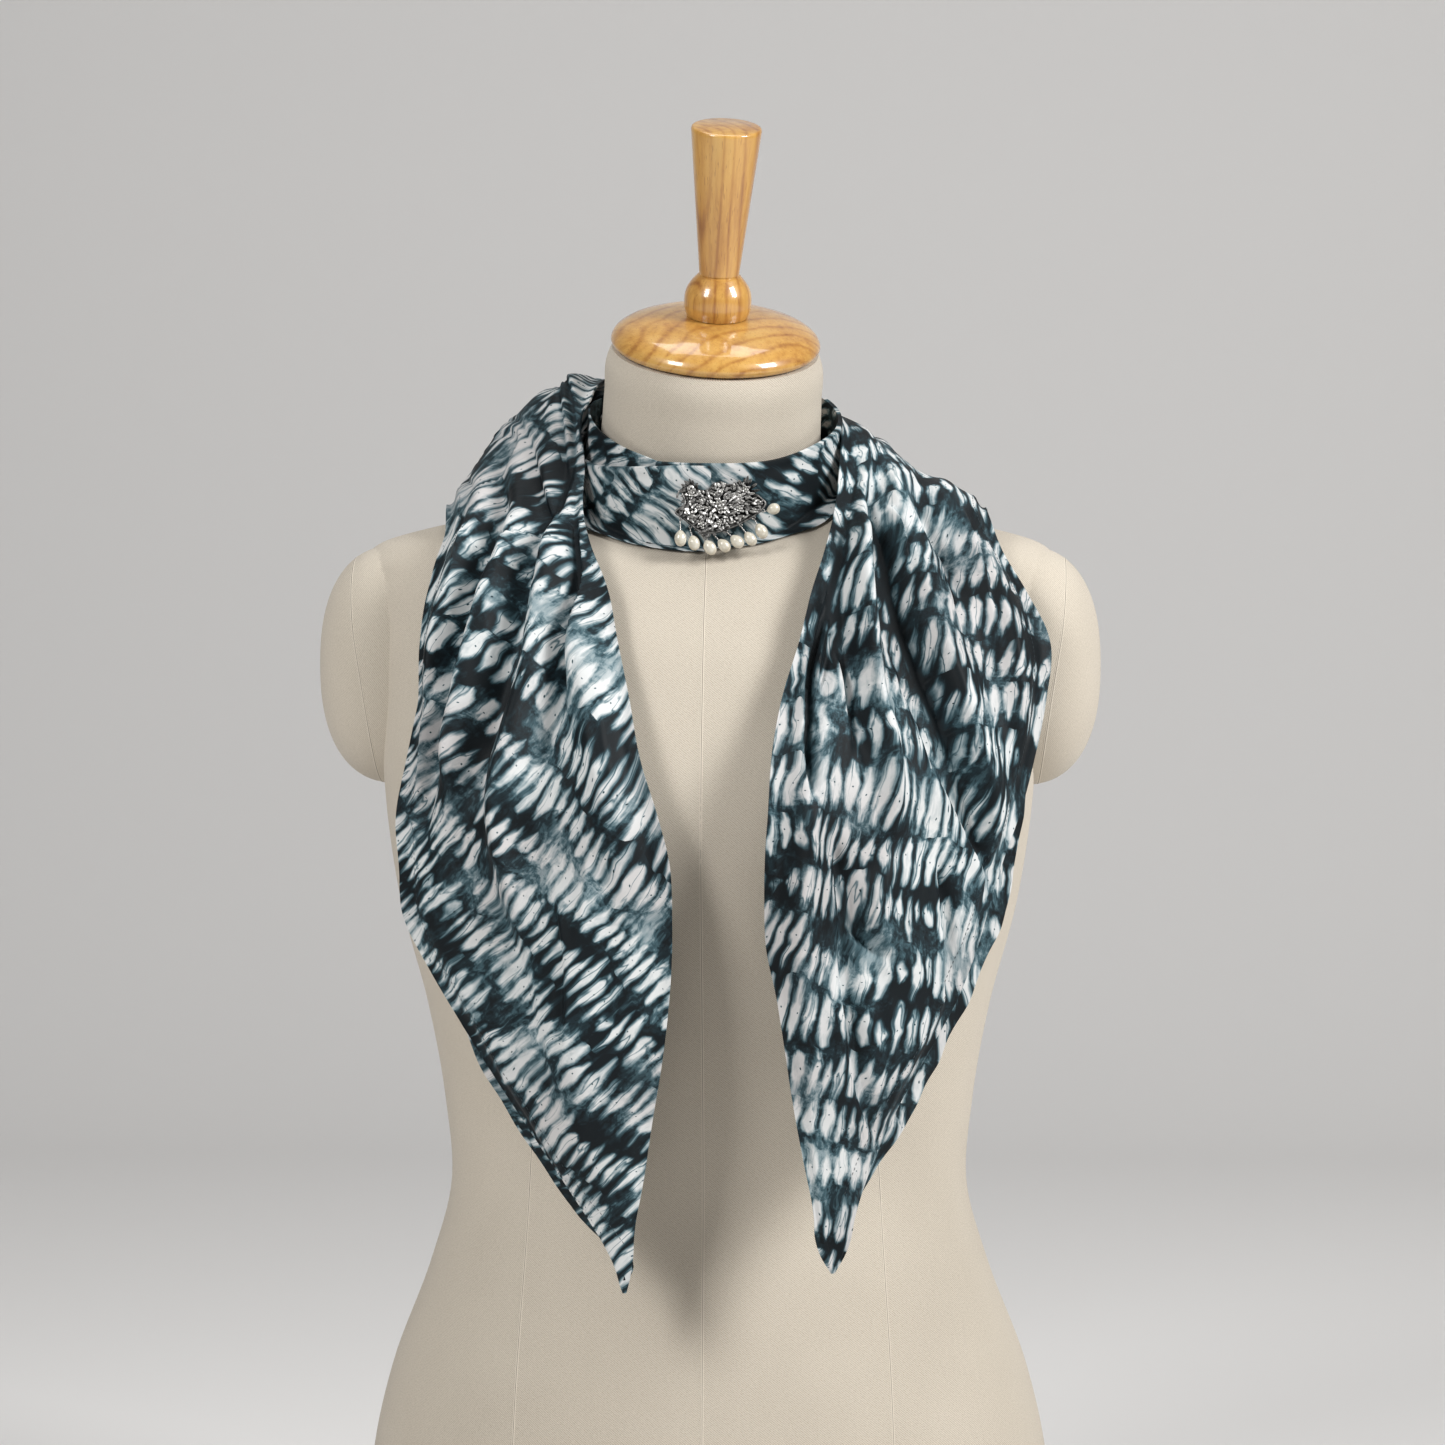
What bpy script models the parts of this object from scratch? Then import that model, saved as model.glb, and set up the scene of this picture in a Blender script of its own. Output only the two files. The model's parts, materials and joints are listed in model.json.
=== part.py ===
"""A tie-dyed cotton neck scarf with a brooch, worn on a limbless dress form.

The scarf is one long bias-cut cloth that goes round the back of the neck and falls over both
shoulders as two pointed tails, each folded double. A neckband closes it in front under a brooch.
The form is a padded torso with a turned wooden neck cap, standing on a plain board.
Metres, +Z up. The form faces -Y. The origin is the middle of the board's underside.
"""

import math

import bmesh
import bpy
import numpy as np
from mathutils import Matrix, Vector
from mathutils.bvhtree import BVHTree

MM = 0.001

# Cloth
CLOTH_WALL = 1.6 * MM
PLY_GAP = 0.8 * MM
UNDER_WALL = 1.3 * MM
BODY_CLEARANCE = 4.0 * MM
UNDER_CLEARANCE = 1.2 * MM
SEAM_GAP = 0.3 * MM

# Form
BOARD_HEIGHT = 12 * MM
NECK_TOP = (0.0035, -0.005, 0.696)
NECK_TILT = math.radians(17.5)
NECK_LEAN = math.radians(3.6)

# The outline is measured as it is seen from this eye, on an upright plane through the form's middle
EYE_DISTANCE = 2.6
EYE_AZIMUTH = math.radians(2.0)
EYE_ELEVATION = math.radians(4.0)
SEEN_CENTRE = Vector((0.0071, 0.0, 0.5003))

# Torso sections in mm: height, half width, front, back, depth of the side line
TORSO = (
    (12.3, 172, -112, 116, 4),
    (60, 180, -114, 126, 6),
    (110, 179, -112, 127, 6),
    (160, 168, -107, 118, 5),
    (215, 147.5, -98, 100, 3),
    (257, 136.3, -92, 86, 0),
    (302, 139, -95, 84, -2),
    (354, 148, -105, 90, -4),
    (407, 162, -116, 98, -2),
    (450, 169, -121, 104, 2),
    (480, 172, -118, 108, 6),
    (515, 176, -106, 110, 10),
    (550, 182, -88, 109, 14),
    (575, 186, -68, 105, 18),
    (588, 182, -54, 101, 20),
    (596, 170, -42, 98, 22),
    (602, 148, -34, 95, 24),
    (608, 120, -30, 92, 26),
    (614, 94, -28, 88, 26),
    (620, 74, -26, 84, 26),
    (626, 62, -24, 78, 26),
    (632, 54, -20, 70, 26),
)
SECTION_POWER = 2.25
TORSO_ROWS = 28
TORSO_COLUMNS = 40

# Bust: apex out from the middle, height, sideways and upright spread, lift, in mm
BUST = (76, 462, 44, 48, 15)

# Arm cap: middle x, y, z, then its half sizes, in mm
ARM_CAP = (165, 14, 530, 41, 52, 63)
ARM_CAP_POWER = 2.4

# Neck in its own leaning frame, mm from its top: height, radius
NECK = (
    (-115, 70),
    (-100, 67),
    (-85, 63),
    (-68, 60),
    (-50, 58),
    (-25, 57),
    (-5, 56),
    (0, 54),
)
# Neck cap and finial, in the same frame: height above the neck's top, radius
CAP = (
    (0.3, 50),
    (1.4, 53),
    (4, 54.8),
    (7.5, 53.6),
    (11, 49.5),
    (14.5, 41),
    (17, 30),
    (18.6, 15),
)
FINIAL = (
    (18.9, 16),
    (22.5, 17.2),
    (27.5, 17.6),
    (32.5, 16.8),
    (37, 14.2),
    (40.6, 11.1),
    (41.4, 10.3),
    (42.2, 10.5),
    (80, 14.4),
    (117.5, 18.3),
    (119, 18.4),
    (119.8, 17.8),
)

# Neckband, in the neck's frame: angle from the front in degrees, top, bottom, outward step, in mm.
# It starts under the overlap, goes round by the wearer's left and ends over the overlap.
BAND = (
    (-22, -44, -97, 0.0),
    (0, -42, -96.5, 0.0),
    (30, -41, -95, 0.0),
    (60, -37, -92, 0.2),
    (90, -35, -88, 0.6),
    (180, -34, -82, 1.0),
    (270, -56, -104, 1.6),
    (300, -55.5, -104, 2.2),
    (330, -48, -100, 2.6),
    (350, -43.5, -97.4, 2.6),
    (363, -42.4, -97, 2.6),
)
BAND_TOP_RADII = (0.0665, 0.0622)
BAND_FOOT_RADII = (0.0715, 0.0685)
BAND_WALL = 1.6 * MM
# What the drape is laid on round the neck: height and radius over the band's laps, in mm
COLLAR = ((-114, 68), (-106, 75), (-98, 76.4), (-90, 76.2), (-44, 71.6), (-38, 69.5), (-35.5, 64))
BAND_CLEARANCE = 1.5 * MM
PLY_WALL = 1.2 * MM

# Inner ply above the band, at the wearer's right: angle, top, foot, share of the way from neck to band
INNER_PLY = (
    (-112, -38, -60),
    (-95, -36.5, -62),
    (-70, -38, -62),
    (-45, -41.5, -60),
    (-26, -44, -60),
    (-10, -48, -60),
)

# Tail edges as seen from the front, in mm, from the tip up:
# height, inner edge, outer edge, depth of the inner edge, depth of the outer edge, crown
RIGHT_HAND_TAIL = (
    (200, -43.4, -45.4, -139, -139, 0),
    (212, -40.6, -46.6, -140, -138, 0),
    (233, -39, -59, -141, -135, -1),
    (259.5, -34.3, -76, -142, -131, -3),
    (291, -29.6, -97, -143, -126, -5),
    (320, -24.8, -116, -144, -120, -7),
    (346, -21.6, -132, -145, -112, -8),
    (372.5, -19.6, -147.5, -146, -104, -8),
    (399, -19.3, -160.5, -146, -97, -8),
    (425, -20.6, -162.5, -145, -92, -8),
    (449, -26.4, -164.3, -144, -88, -7),
    (480.5, -36, -158.5, -138, -80, -5),
    (512, -41.7, -152, -122, -68, -4),
    (543.5, -48, -147, -102, -54, -3),
    (570, -53, -141.8, -86, -40, -3),
    (594, -62, -138, -64, -24, -2),
    (612, -66, -138.5, -44, -8, 0),
)
LEFT_HAND_TAIL = (
    (210.5, 64.2, 66.2, -139, -139, 0),
    (222, 57.4, 72.4, -140, -137, 0),
    (243, 54.8, 76.9, -141, -134, -1),
    (270, 49.5, 86, -142, -130, -3),
    (299, 44.2, 99.3, -143, -124, -5),
    (330, 39.5, 116.6, -144, -117, -7),
    (356, 35.3, 130.7, -145, -110, -8),
    (381, 30, 140.2, -146, -103, -8),
    (407, 29, 147.8, -146, -97, -8),
    (432, 29.5, 155.4, -145, -92, -8),
    (454, 31, 163.5, -144, -88, -7),
    (480.5, 32.6, 170.5, -139, -82, -5),
    (512, 38, 177, -122, -72, -4),
    (543.5, 47.5, 179, -102, -60, -3),
    (568, 53.5, 167, -86, -46, -3),
    (590, 60.5, 154, -66, -30, -2),
    (610, 65.5, 147, -46, -12, 0),
)
# The cloth behind the shoulders, in mm, from the wearer's right shoulder round to the left:
# inner edge x, y, z, outer edge x, y, z, crown out, crown up
BACK = (
    (-68.5, -20, 636, -138, 20, 610, 0, 8),
    (-69.5, 6, 661, -136, 46, 604, 2, 22),
    (-60, 41, 675, -128, 88, 574, 8, 22),
    (-35, 67, 684, -98, 124, 545, 14, 12),
    (0, 77, 687, -30, 140, 523, 16, 4),
    (33, 69, 680, 42, 139, 521, 16, 3),
    (60, 44, 670, 104, 122, 545, 11, 4),
    (70, 10, 658, 138, 84, 576, 5, 7),
    (70, -18, 637, 146, 34, 605, 0, 6),
)

# Folds of the tails. Each has its lift in mm (less than 0 is a groove), its reach to the inner and to
# the outer side in mm, its shares of the way across behind the shoulder at the rows of BACK,
# counted from that shoulder, and its path down the front as it is seen there, x and height in mm.
RIGHT_HAND_FOLDS = (
    (8, 8, 14, (), ((-60, 565), (-58, 530), (-52, 495), (-44, 455), (-38, 400))),
    (-13, 4, 7, (0.14, 0.11), ((-69.5, 590), (-69, 545), (-71, 515), (-79, 490), (-86, 470))),
    (12, 8, 11, (0.22, 0.2, 0.14), ((-76, 600), (-79, 560), (-84, 525), (-92, 490), (-97, 440), (-92, 390))),
    (-10, 5, 7, (0.33, 0.29, 0.22), ((-84, 602), (-89, 570), (-95, 540), (-104, 505), (-112, 465))),
    (12, 7, 9, (0.44, 0.4, 0.32), ((-94, 604), (-102, 575), (-112, 540), (-122, 495), (-128, 440))),
    (-10, 5, 6, (0.55, 0.5, 0.42), ((-104, 604), (-112, 580), (-120, 545), (-131, 505), (-149, 430))),
    (8, 6, 8, (0.68, 0.62, 0.54), ((-116, 604), (-124, 580), (-134, 540), (-144, 495), (-152, 450))),
    (6, 14, 22, (), ((-60, 440), (-62, 390), (-66, 340), (-62, 290), (-54, 245))),
    (-5, 7, 10, (), ((-110, 430), (-98, 380), (-86, 330), (-74, 290))),
)
LEFT_HAND_FOLDS = (
    (10, 8, 8, (), ((62, 570), (59, 550), (54, 520), (48, 470), (44, 420), (42, 360))),
    (-15, 5, 5, (0.09, 0.06), ((70, 600), (65, 560), (58, 525), (51, 490), (49, 455))),
    (14, 6, 8, (0.15, 0.12), ((76, 600), (74, 560), (78, 520), (86, 480), (92, 440))),
    (-9, 4, 5, (), ((68, 580), (68, 545), (73, 505), (77, 480))),
    (-18, 7, 5, (0.22, 0.2), ((83, 602), (88, 580), (94, 550), (111, 505), (121, 480), (141, 430))),
    (13, 6, 17, (0.32, 0.3, 0.24), ((92, 602), (100, 575), (112, 540), (124, 505), (134, 470), (144, 430))),
    (-9, 5, 7, (0.5, 0.46, 0.38), ((108, 602), (120, 580), (130, 555))),
    (9, 8, 11, (0.64, 0.6, 0.5), ((122, 604), (138, 580), (150, 550), (158, 510), (160, 470))),
    (7, 5, 16, (), ((92, 440), (80, 400), (86, 380), (96, 362))),
    (-7, 4, 6, (), ((62, 440), (66, 410), (77, 386), (90, 372))),
    (-7, 4, 5, (), ((72, 430), (68, 380), (73, 340), (78, 305), (86, 280))),
    (-6, 4, 6, (), ((117, 430), (122, 390), (124, 352))),
)
SHOULDER_EASE = 0.6
# Folds that hang in swags behind: lift, reach up and down in mm, then row of BACK and share across
BACK_FOLDS = (
    (9, 9, 11, ((1.2, 0.3), (2.5, 0.26), (4, 0.24), (5.5, 0.26), (7, 0.34))),
    (-6, 8, 8, ((1.5, 0.44), (3, 0.42), (4.5, 0.42), (6, 0.44), (7, 0.48))),
    (12, 11, 12, ((0.6, 0.6), (2, 0.62), (4, 0.66), (6, 0.64), (7.4, 0.6))),
    (-5, 7, 7, ((0.6, 0.82), (2, 0.84), (4, 0.86), (6, 0.86), (7.4, 0.82))),
)
# How much a layer that shows at the tail's lower outer edge stands past it, in mm: height, past
RIGHT_HAND_PAST = (
    (200, 0),
    (212, 2.5),
    (227, 4.5),
    (243, 7),
    (275, 8.5),
    (300, 7),
    (322, 5.8),
    (340, 1),
    (365, -4),
    (620, -8),
)
LEFT_HAND_PAST = (
    (210, 0),
    (251, 1.6),
    (266, 7),
    (284, 12),
    (300, 13),
    (315, 11),
    (346, 8),
    (372, 8),
    (398, 12),
    (438, 7),
    (460, 2),
    (490, -4),
    (620, -8),
)

TAIL_ROWS = 31
CLOTH_COLUMNS = 23
BACK_ROWS = 20
UNDER_ROWS = 28
UNDER_COLUMNS = 8
LAYING_ROWS = 100
LEAST_FOLD_REACH = 6.8 * MM

# Brooch: its middle as seen from the front, x and height, its turn to the side and up
BROOCH_SEEN = (0.0068, 0.6125)
BROOCH_TURN = math.radians(7.0)
BROOCH_FACING_UP = math.radians(10.5)
BROOCH_WALL = 1.5 * MM
BROOCH_BORDER = 0.7 * MM
BROOCH_GAP = 0.3 * MM
# Plate outline in its own plane, in mm, from the tip at the wearer's right and up
BROOCH_OUTLINE = (
    (-24, -0.7),
    (-18.9, 3.4),
    (-20.6, 9.8),
    (-18.6, 13.6),
    (-14.2, 13.2),
    (-11.9, 11),
    (-6.4, 11.1),
    (-3.6, 13.8),
    (0.2, 14.7),
    (4, 13.4),
    (7.4, 13.8),
    (9.4, 15.3),
    (13.8, 14.3),
    (15.8, 11.2),
    (19.6, 7.4),
    (23.3, 3.7),
    (21.2, 0.2),
    (16.3, -3.5),
    (10.7, -6.6),
    (5.2, -9.1),
    (-0.9, -11.2),
    (-6.4, -12.1),
    (-11.2, -11.5),
    (-15.8, -7.8),
    (-19.8, -4.3),
)
# Flower heads raised on the plate: x, y, radius, height, in mm
BROOCH_FLOWERS = (
    (-15.6, 8.7, 3.2, 1.7),
    (12.4, 10.6, 3.0, 1.6),
    (-10.6, -7.1, 3.0, 1.5),
    (-1, 2.2, 4.4, 1.9),
    (9.2, 0.7, 3.0, 1.4),
    (-11.4, 1.5, 2.8, 1.3),
    (-1.2, -6.3, 2.6, 1.3),
)
# Pearl drops on the plate: eye x, y, then pearl middle x, y, radius, half length, in mm
PEARL_DROPS = (
    (-21.8, -5.4, -21, -14.3, 3.1, 4.3),
    (-16.9, -9.6, -14.4, -16.7, 3.0, 4.0),
    (-10.2, -13.8, -6, -19, 3.2, 4.2),
    (-3.6, -14.0, 1.0, -18.2, 3.0, 4.0),
    (3.2, -12.4, 8.0, -15.8, 3.2, 4.1),
    (10.4, -9.2, 14.8, -14.5, 3.0, 4.1),
    (17.4, -5.2, 20.6, -10.6, 3.1, 4.3),
    (22.9, -1.4, 27, 0.7, 2.9, 3.5),
)
EYE_RADIUS = 0.9 * MM
STEM_RADIUS = 0.4 * MM
PEARL_REST_GAP = 0.35 * MM


def clear_scene():
    for thing in list(bpy.data.objects):
        bpy.data.objects.remove(thing, do_unlink=True)


def finish_material(name, colour, roughness, metallic=0.0):
    material = bpy.data.materials.new(name)
    material.use_nodes = True
    shader = material.node_tree.nodes["Principled BSDF"]
    shader.inputs["Base Color"].default_value = (*colour, 1.0)
    shader.inputs["Roughness"].default_value = roughness
    shader.inputs["Metallic"].default_value = metallic
    return material


def through(rows, at):
    """A table whose first column is a position, read anywhere along smooth curves through its rows."""
    table = np.array(rows, float)
    place, values = table[:, 0], table[:, 1:]
    slope = np.gradient(values, place, axis=0)
    at = np.clip(np.atleast_1d(np.asarray(at, float)), place[0], place[-1])
    i = np.clip(np.searchsorted(place, at) - 1, 0, len(place) - 2)
    step = (place[i + 1] - place[i])[:, None]
    t = (at - place[i])[:, None] / step
    return (
        (2 * t**3 - 3 * t**2 + 1) * values[i]
        + (t**3 - 2 * t**2 + t) * step * slope[i]
        + (3 * t**2 - 2 * t**3) * values[i + 1]
        + (t**3 - t**2) * step * slope[i + 1]
    )


def ease(low, high, value):
    """0 below low, 1 above high, and smooth between."""
    t = np.clip((np.asarray(value, float) - low) / (high - low), 0, 1)
    return t * t * (3 - 2 * t)


def object_from(name, points, faces, material, smooth=True, crease=50):
    mesh = bpy.data.meshes.new(name)
    mesh.from_pydata([tuple(p) for p in points], [], faces)
    mesh.validate()
    shape = bmesh.new()
    shape.from_mesh(mesh)
    bmesh.ops.recalc_face_normals(shape, faces=shape.faces)
    if shape.calc_volume(signed=True) < 0:
        bmesh.ops.reverse_faces(shape, faces=shape.faces)
    shape.to_mesh(mesh)
    shape.free()
    if material:
        mesh.materials.append(material)
    if smooth:
        mesh.shade_smooth()
        mesh.set_sharp_from_angle(angle=math.radians(crease))
    made = bpy.data.objects.new(name, mesh)
    bpy.context.scene.collection.objects.link(made)
    return made


def rings_solid(name, rings, material, smooth=True):
    """A closed solid from rings of points, one above the other, with flat ends."""
    rings = np.array(rings)
    count, around = rings.shape[:2]
    faces = []
    for r in range(count - 1):
        for c in range(around):
            d = (c + 1) % around
            faces.append((r * around + c, r * around + d, (r + 1) * around + d, (r + 1) * around + c))
    faces.append(tuple(range(around))[::-1])
    faces.append(tuple((count - 1) * around + c for c in range(around)))
    return object_from(name, rings.reshape(-1, 3), faces, material, smooth)


def wall_solid(name, outer, inner, material):
    """A closed wall between two grids of points that face each other."""
    rows, columns = outer.shape[:2]
    points = np.concatenate([outer.reshape(-1, 3), inner.reshape(-1, 3)])
    back = rows * columns

    def at(r, c):
        return r * columns + c

    faces = []
    for r in range(rows - 1):
        for c in range(columns - 1):
            quad = (at(r, c), at(r, c + 1), at(r + 1, c + 1), at(r + 1, c))
            faces.append(quad)
            faces.append(tuple(back + i for i in quad[::-1]))
    rim = [at(0, c) for c in range(columns)]
    rim += [at(r, columns - 1) for r in range(1, rows)]
    rim += [at(rows - 1, c) for c in range(columns - 2, -1, -1)]
    rim += [at(r, 0) for r in range(rows - 2, 0, -1)]
    for a, b in zip(rim, rim[1:] + rim[:1]):
        faces.append((b, a, back + a, back + b))
    return object_from(name, points, faces, material, crease=75)


def eye_axes():
    back = Vector((
        math.sin(EYE_AZIMUTH) * math.cos(EYE_ELEVATION),
        -math.cos(EYE_AZIMUTH) * math.cos(EYE_ELEVATION),
        math.sin(EYE_ELEVATION),
    ))
    right = Vector((math.cos(EYE_AZIMUTH), math.sin(EYE_AZIMUTH), 0))
    return right, back.cross(right), back


def seen_at(x, z, depth):
    """The point at this depth that is seen at x, z on the plane through the form's middle."""
    right, up, back = (np.array(v) for v in eye_axes())
    eye = np.array(SEEN_CENTRE) + back * EYE_DISTANCE
    x, z, depth = (np.asarray(v, float) for v in (x, z, depth))
    on_plane = (
        np.array(SEEN_CENTRE)
        + (x - SEEN_CENTRE.x)[..., None] * right
        + (z - SEEN_CENTRE.z)[..., None] * up
    )
    ray = on_plane - eye
    return eye + ray * ((depth - eye[1]) / ray[..., 1])[..., None]


def as_seen(points):
    """Where points are seen on that plane: x and z."""
    right, up, back = (np.array(v) for v in eye_axes())
    centre = np.array(SEEN_CENTRE)
    eye = centre + back * EYE_DISTANCE
    ray = points - eye
    on_plane = ray * (EYE_DISTANCE / -(ray @ back))[..., None] + eye - centre
    return np.stack([on_plane @ right + centre[0], on_plane @ up + centre[2]], axis=-1)


def neck_frame():
    turned = Matrix.Rotation(NECK_LEAN, 4, "Y") @ Matrix.Rotation(NECK_TILT, 4, "X")
    return Matrix.Translation(NECK_TOP) @ turned


def in_neck_frame(points):
    frame = np.array(neck_frame())
    return points @ frame[:3, :3].T + frame[:3, 3]


def turned_rings(profile, around):
    """Rings of a shape turned about the neck's axis, from rows of height and radius in mm."""
    angle = np.linspace(0, 2 * math.pi, around, endpoint=False)
    rings = []
    for height, radius in profile:
        ring = np.stack(
            [radius * np.cos(angle), radius * np.sin(angle), np.full(around, height)], axis=-1
        )
        rings.append(in_neck_frame(ring * MM))
    return rings


def torso_rings(rows, columns):
    """Level sections of the padded torso, with a soft bust."""
    heights = np.array([r[0] for r in TORSO])
    spread = np.interp(np.linspace(0, len(heights) - 1, rows), range(len(heights)), heights)
    angle = np.linspace(0, 2 * math.pi, columns, endpoint=False)
    power = 2 / SECTION_POWER
    across = np.sign(np.cos(angle)) * np.abs(np.cos(angle)) ** power
    deep = np.sign(np.sin(angle)) * np.abs(np.sin(angle)) ** power
    apex_x, apex_z, spread_x, spread_z, lift = BUST
    rings = []
    for height, (half, front, back, side) in zip(spread, through(TORSO, spread)):
        x = half * across
        y = side + np.where(deep < 0, side - front, back - side) * deep
        bust = np.exp(-(((np.abs(x) - apex_x) / spread_x) ** 2) - ((height - apex_z) / spread_z) ** 2)
        y = y - lift * bust * np.clip(-deep, 0, 1) ** 0.7
        rings.append(np.stack([x, y, np.full(columns, height)], axis=-1) * MM)
    return rings


def arm_cap_rings(side, rows, columns):
    """A rounded arm cap, turned about the sideways axis, its inner end buried in the torso."""
    x, y, z, half_x, half_y, half_z = ARM_CAP
    power = 2 / ARM_CAP_POWER
    rings = []
    for t in np.linspace(-0.45, 1, rows):
        lean = t * math.pi / 2 * 0.98
        out, wide = np.sign(lean) * abs(math.sin(lean)) ** power, math.cos(lean) ** power
        angle = np.linspace(0, 2 * math.pi, columns, endpoint=False)
        c = np.sign(np.cos(angle)) * np.abs(np.cos(angle)) ** (2 / 2.2)
        s = np.sign(np.sin(angle)) * np.abs(np.sin(angle)) ** (2 / 2.2)
        ring = np.stack(
            [np.full(columns, side * (x + half_x * out)), y + half_y * wide * c, z + half_z * wide * s],
            axis=-1,
        )
        rings.append(ring * MM)
    return rings


def hide_as_helper(thing):
    thing.hide_render = True
    thing.display_type = "WIRE"


def join_to(base, other):
    union = base.modifiers.new("Join_" + other.name, "BOOLEAN")
    union.operation = "UNION"
    union.solver = "EXACT"
    union.object = other
    hide_as_helper(other)


def make_form(linen, timber):
    """The torso with its neck and arm caps in one body, the board, the neck cap and the finial."""
    torso = rings_solid("torso_form", torso_rings(TORSO_ROWS, TORSO_COLUMNS), linen)
    neck = rings_solid("neck_block", turned_rings(NECK, 28), linen)
    join_to(torso, neck)
    for side in (-1, 1):
        name = "arm_cap_block_" + ("right" if side < 0 else "left")
        join_to(torso, rings_solid(name, arm_cap_rings(side, 8, 20), linen))
    foot = torso_rings(TORSO_ROWS, TORSO_COLUMNS)[0]
    board = [foot * (0.97, 0.97, 0) + (0, 0, z) for z in (0, 0.0015, BOARD_HEIGHT)]
    board[0] = board[0] * (0.99, 0.99, 1)
    rings_solid("base_board", board, timber, smooth=False)
    rings_solid("neck_cap", turned_rings(CAP, 32), timber)
    rings_solid("cap_finial", turned_rings(FINIAL, 20), timber)
    return torso


def surface_of(*things):
    """One search tree over the outsides of these objects as they are evaluated."""
    graph = bpy.context.evaluated_depsgraph_get()
    points, faces = [], []
    for thing in things:
        mesh = thing.evaluated_get(graph).to_mesh()
        start = len(points)
        points += [thing.matrix_world @ v.co for v in mesh.vertices]
        mesh.calc_loop_triangles()
        faces += [tuple(start + i for i in t.vertices) for t in mesh.loop_triangles]
    return BVHTree.FromPolygons(points, faces)


def clear_of(surface, points, gap):
    """The same points, moved out of the surface where they are nearer than the gap."""
    moved = points.copy()
    for index in np.ndindex(points.shape[:-1]):
        place = Vector(points[index])
        nearest, normal, _, _ = surface.find_nearest(place)
        if normal is None:
            continue
        away = place - nearest
        if away.dot(normal) < 0:
            moved[index] = nearest + normal * gap
        elif away.length < gap:
            moved[index] = nearest + (away.normalized() or normal) * gap
    return moved


def clear_between(surface, points, gap):
    """Moves the ends of each edge, and the corners of each quad, whose middle is nearer than the gap."""
    moved = np.zeros(points.shape)
    largest = np.zeros(points.shape[:2])
    for corners in (((0, 0), (1, 0), (0, 1), (1, 1)), ((0, 0), (1, 0)), ((0, 0), (0, 1))):
        rows = points.shape[0] - max(r for r, _ in corners)
        columns = points.shape[1] - max(c for _, c in corners)
        parts = [(slice(r, r + rows), slice(c, c + columns)) for r, c in corners]
        middle = sum(points[part] for part in parts) / len(parts)
        short = clear_of(surface, middle, gap) - middle
        size = np.linalg.norm(short, axis=-1)
        for part in parts:
            more = size > largest[part]
            moved[part] = np.where(more[..., None], short, moved[part])
            largest[part] = np.where(more, size, largest[part])
    return points + moved


def settle(surface, points, gap, rounds, share=0.5):
    """Evens out a grid of cloth and keeps it off the form, its edges held where they are."""
    points = clear_of(surface, points, gap)
    for _ in range(rounds):
        mean = points.copy()
        mean[1:-1, 1:-1] = (
            points[:-2, 1:-1] + points[2:, 1:-1] + points[1:-1, :-2] + points[1:-1, 2:]
        ) / 4
        points = clear_of(surface, points + (mean - points) * share, gap)
    for _ in range(3):
        points = clear_between(surface, points, gap * 0.9)
    return points


def grid_normals(points):
    """The outward directions of a grid of cloth, evened out a little."""
    along = np.gradient(points, axis=0)
    across = np.gradient(points, axis=1)
    normal = np.cross(along, across)
    normal /= np.linalg.norm(normal, axis=-1, keepdims=True) + 1e-12
    for _ in range(2):
        padded = np.pad(normal, ((1, 1), (1, 1), (0, 0)), mode="edge")
        normal = (
            padded[:-2, 1:-1] + padded[2:, 1:-1] + padded[1:-1, :-2] + padded[1:-1, 2:]
            + 2 * normal
        ) / 6
        normal /= np.linalg.norm(normal, axis=-1, keepdims=True) + 1e-12
    return normal


def tail_edges(table):
    """The tail's inner and outer edge and crown, in the row frame, for each row of its table."""
    t = np.array(table, float) * MM
    inner = seen_at(t[:, 1], t[:, 0], t[:, 3])
    outer = seen_at(t[:, 2], t[:, 0], t[:, 4])
    crown = np.stack([0 * t[:, 5], t[:, 5], 0 * t[:, 5]], axis=-1)
    return np.concatenate([inner, outer, crown], axis=-1)


def back_edges():
    t = np.array(BACK, float) * MM
    out, up = t[:, 6], t[:, 7]
    crown = np.stack([0 * out, out, up], axis=-1)
    return np.concatenate([t[:, :6], crown], axis=-1)


def scarf_edges():
    """Edge rows of the whole cloth, from the tip at the wearer's right to the tip at the left."""
    rows = np.concatenate([tail_edges(RIGHT_HAND_TAIL), back_edges(), tail_edges(LEFT_HAND_TAIL)[::-1]])
    middle = (rows[:, :3] + rows[:, 3:6]) / 2
    run = np.concatenate([[0], np.cumsum(np.linalg.norm(np.diff(middle, axis=0), axis=1))])
    first, last = len(RIGHT_HAND_TAIL), len(RIGHT_HAND_TAIL) + len(BACK) - 1
    return np.column_stack([run, rows]), run[first], run[last]


def scarf_base(surface, stations, columns):
    """The cloth with no folds: straight across between its edges, crowned, and laid on the form."""
    table, _, _ = scarf_edges()
    rows = through(table, stations)
    u = np.linspace(0, 1, columns)[None, :, None]
    inner, outer, crown = (rows[:, None, k : k + 3] for k in (0, 3, 6))
    points = inner + (outer - inner) * u + crown * 4 * u * (1 - u)
    return settle(surface, points, BODY_CLEARANCE, 3)


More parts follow.
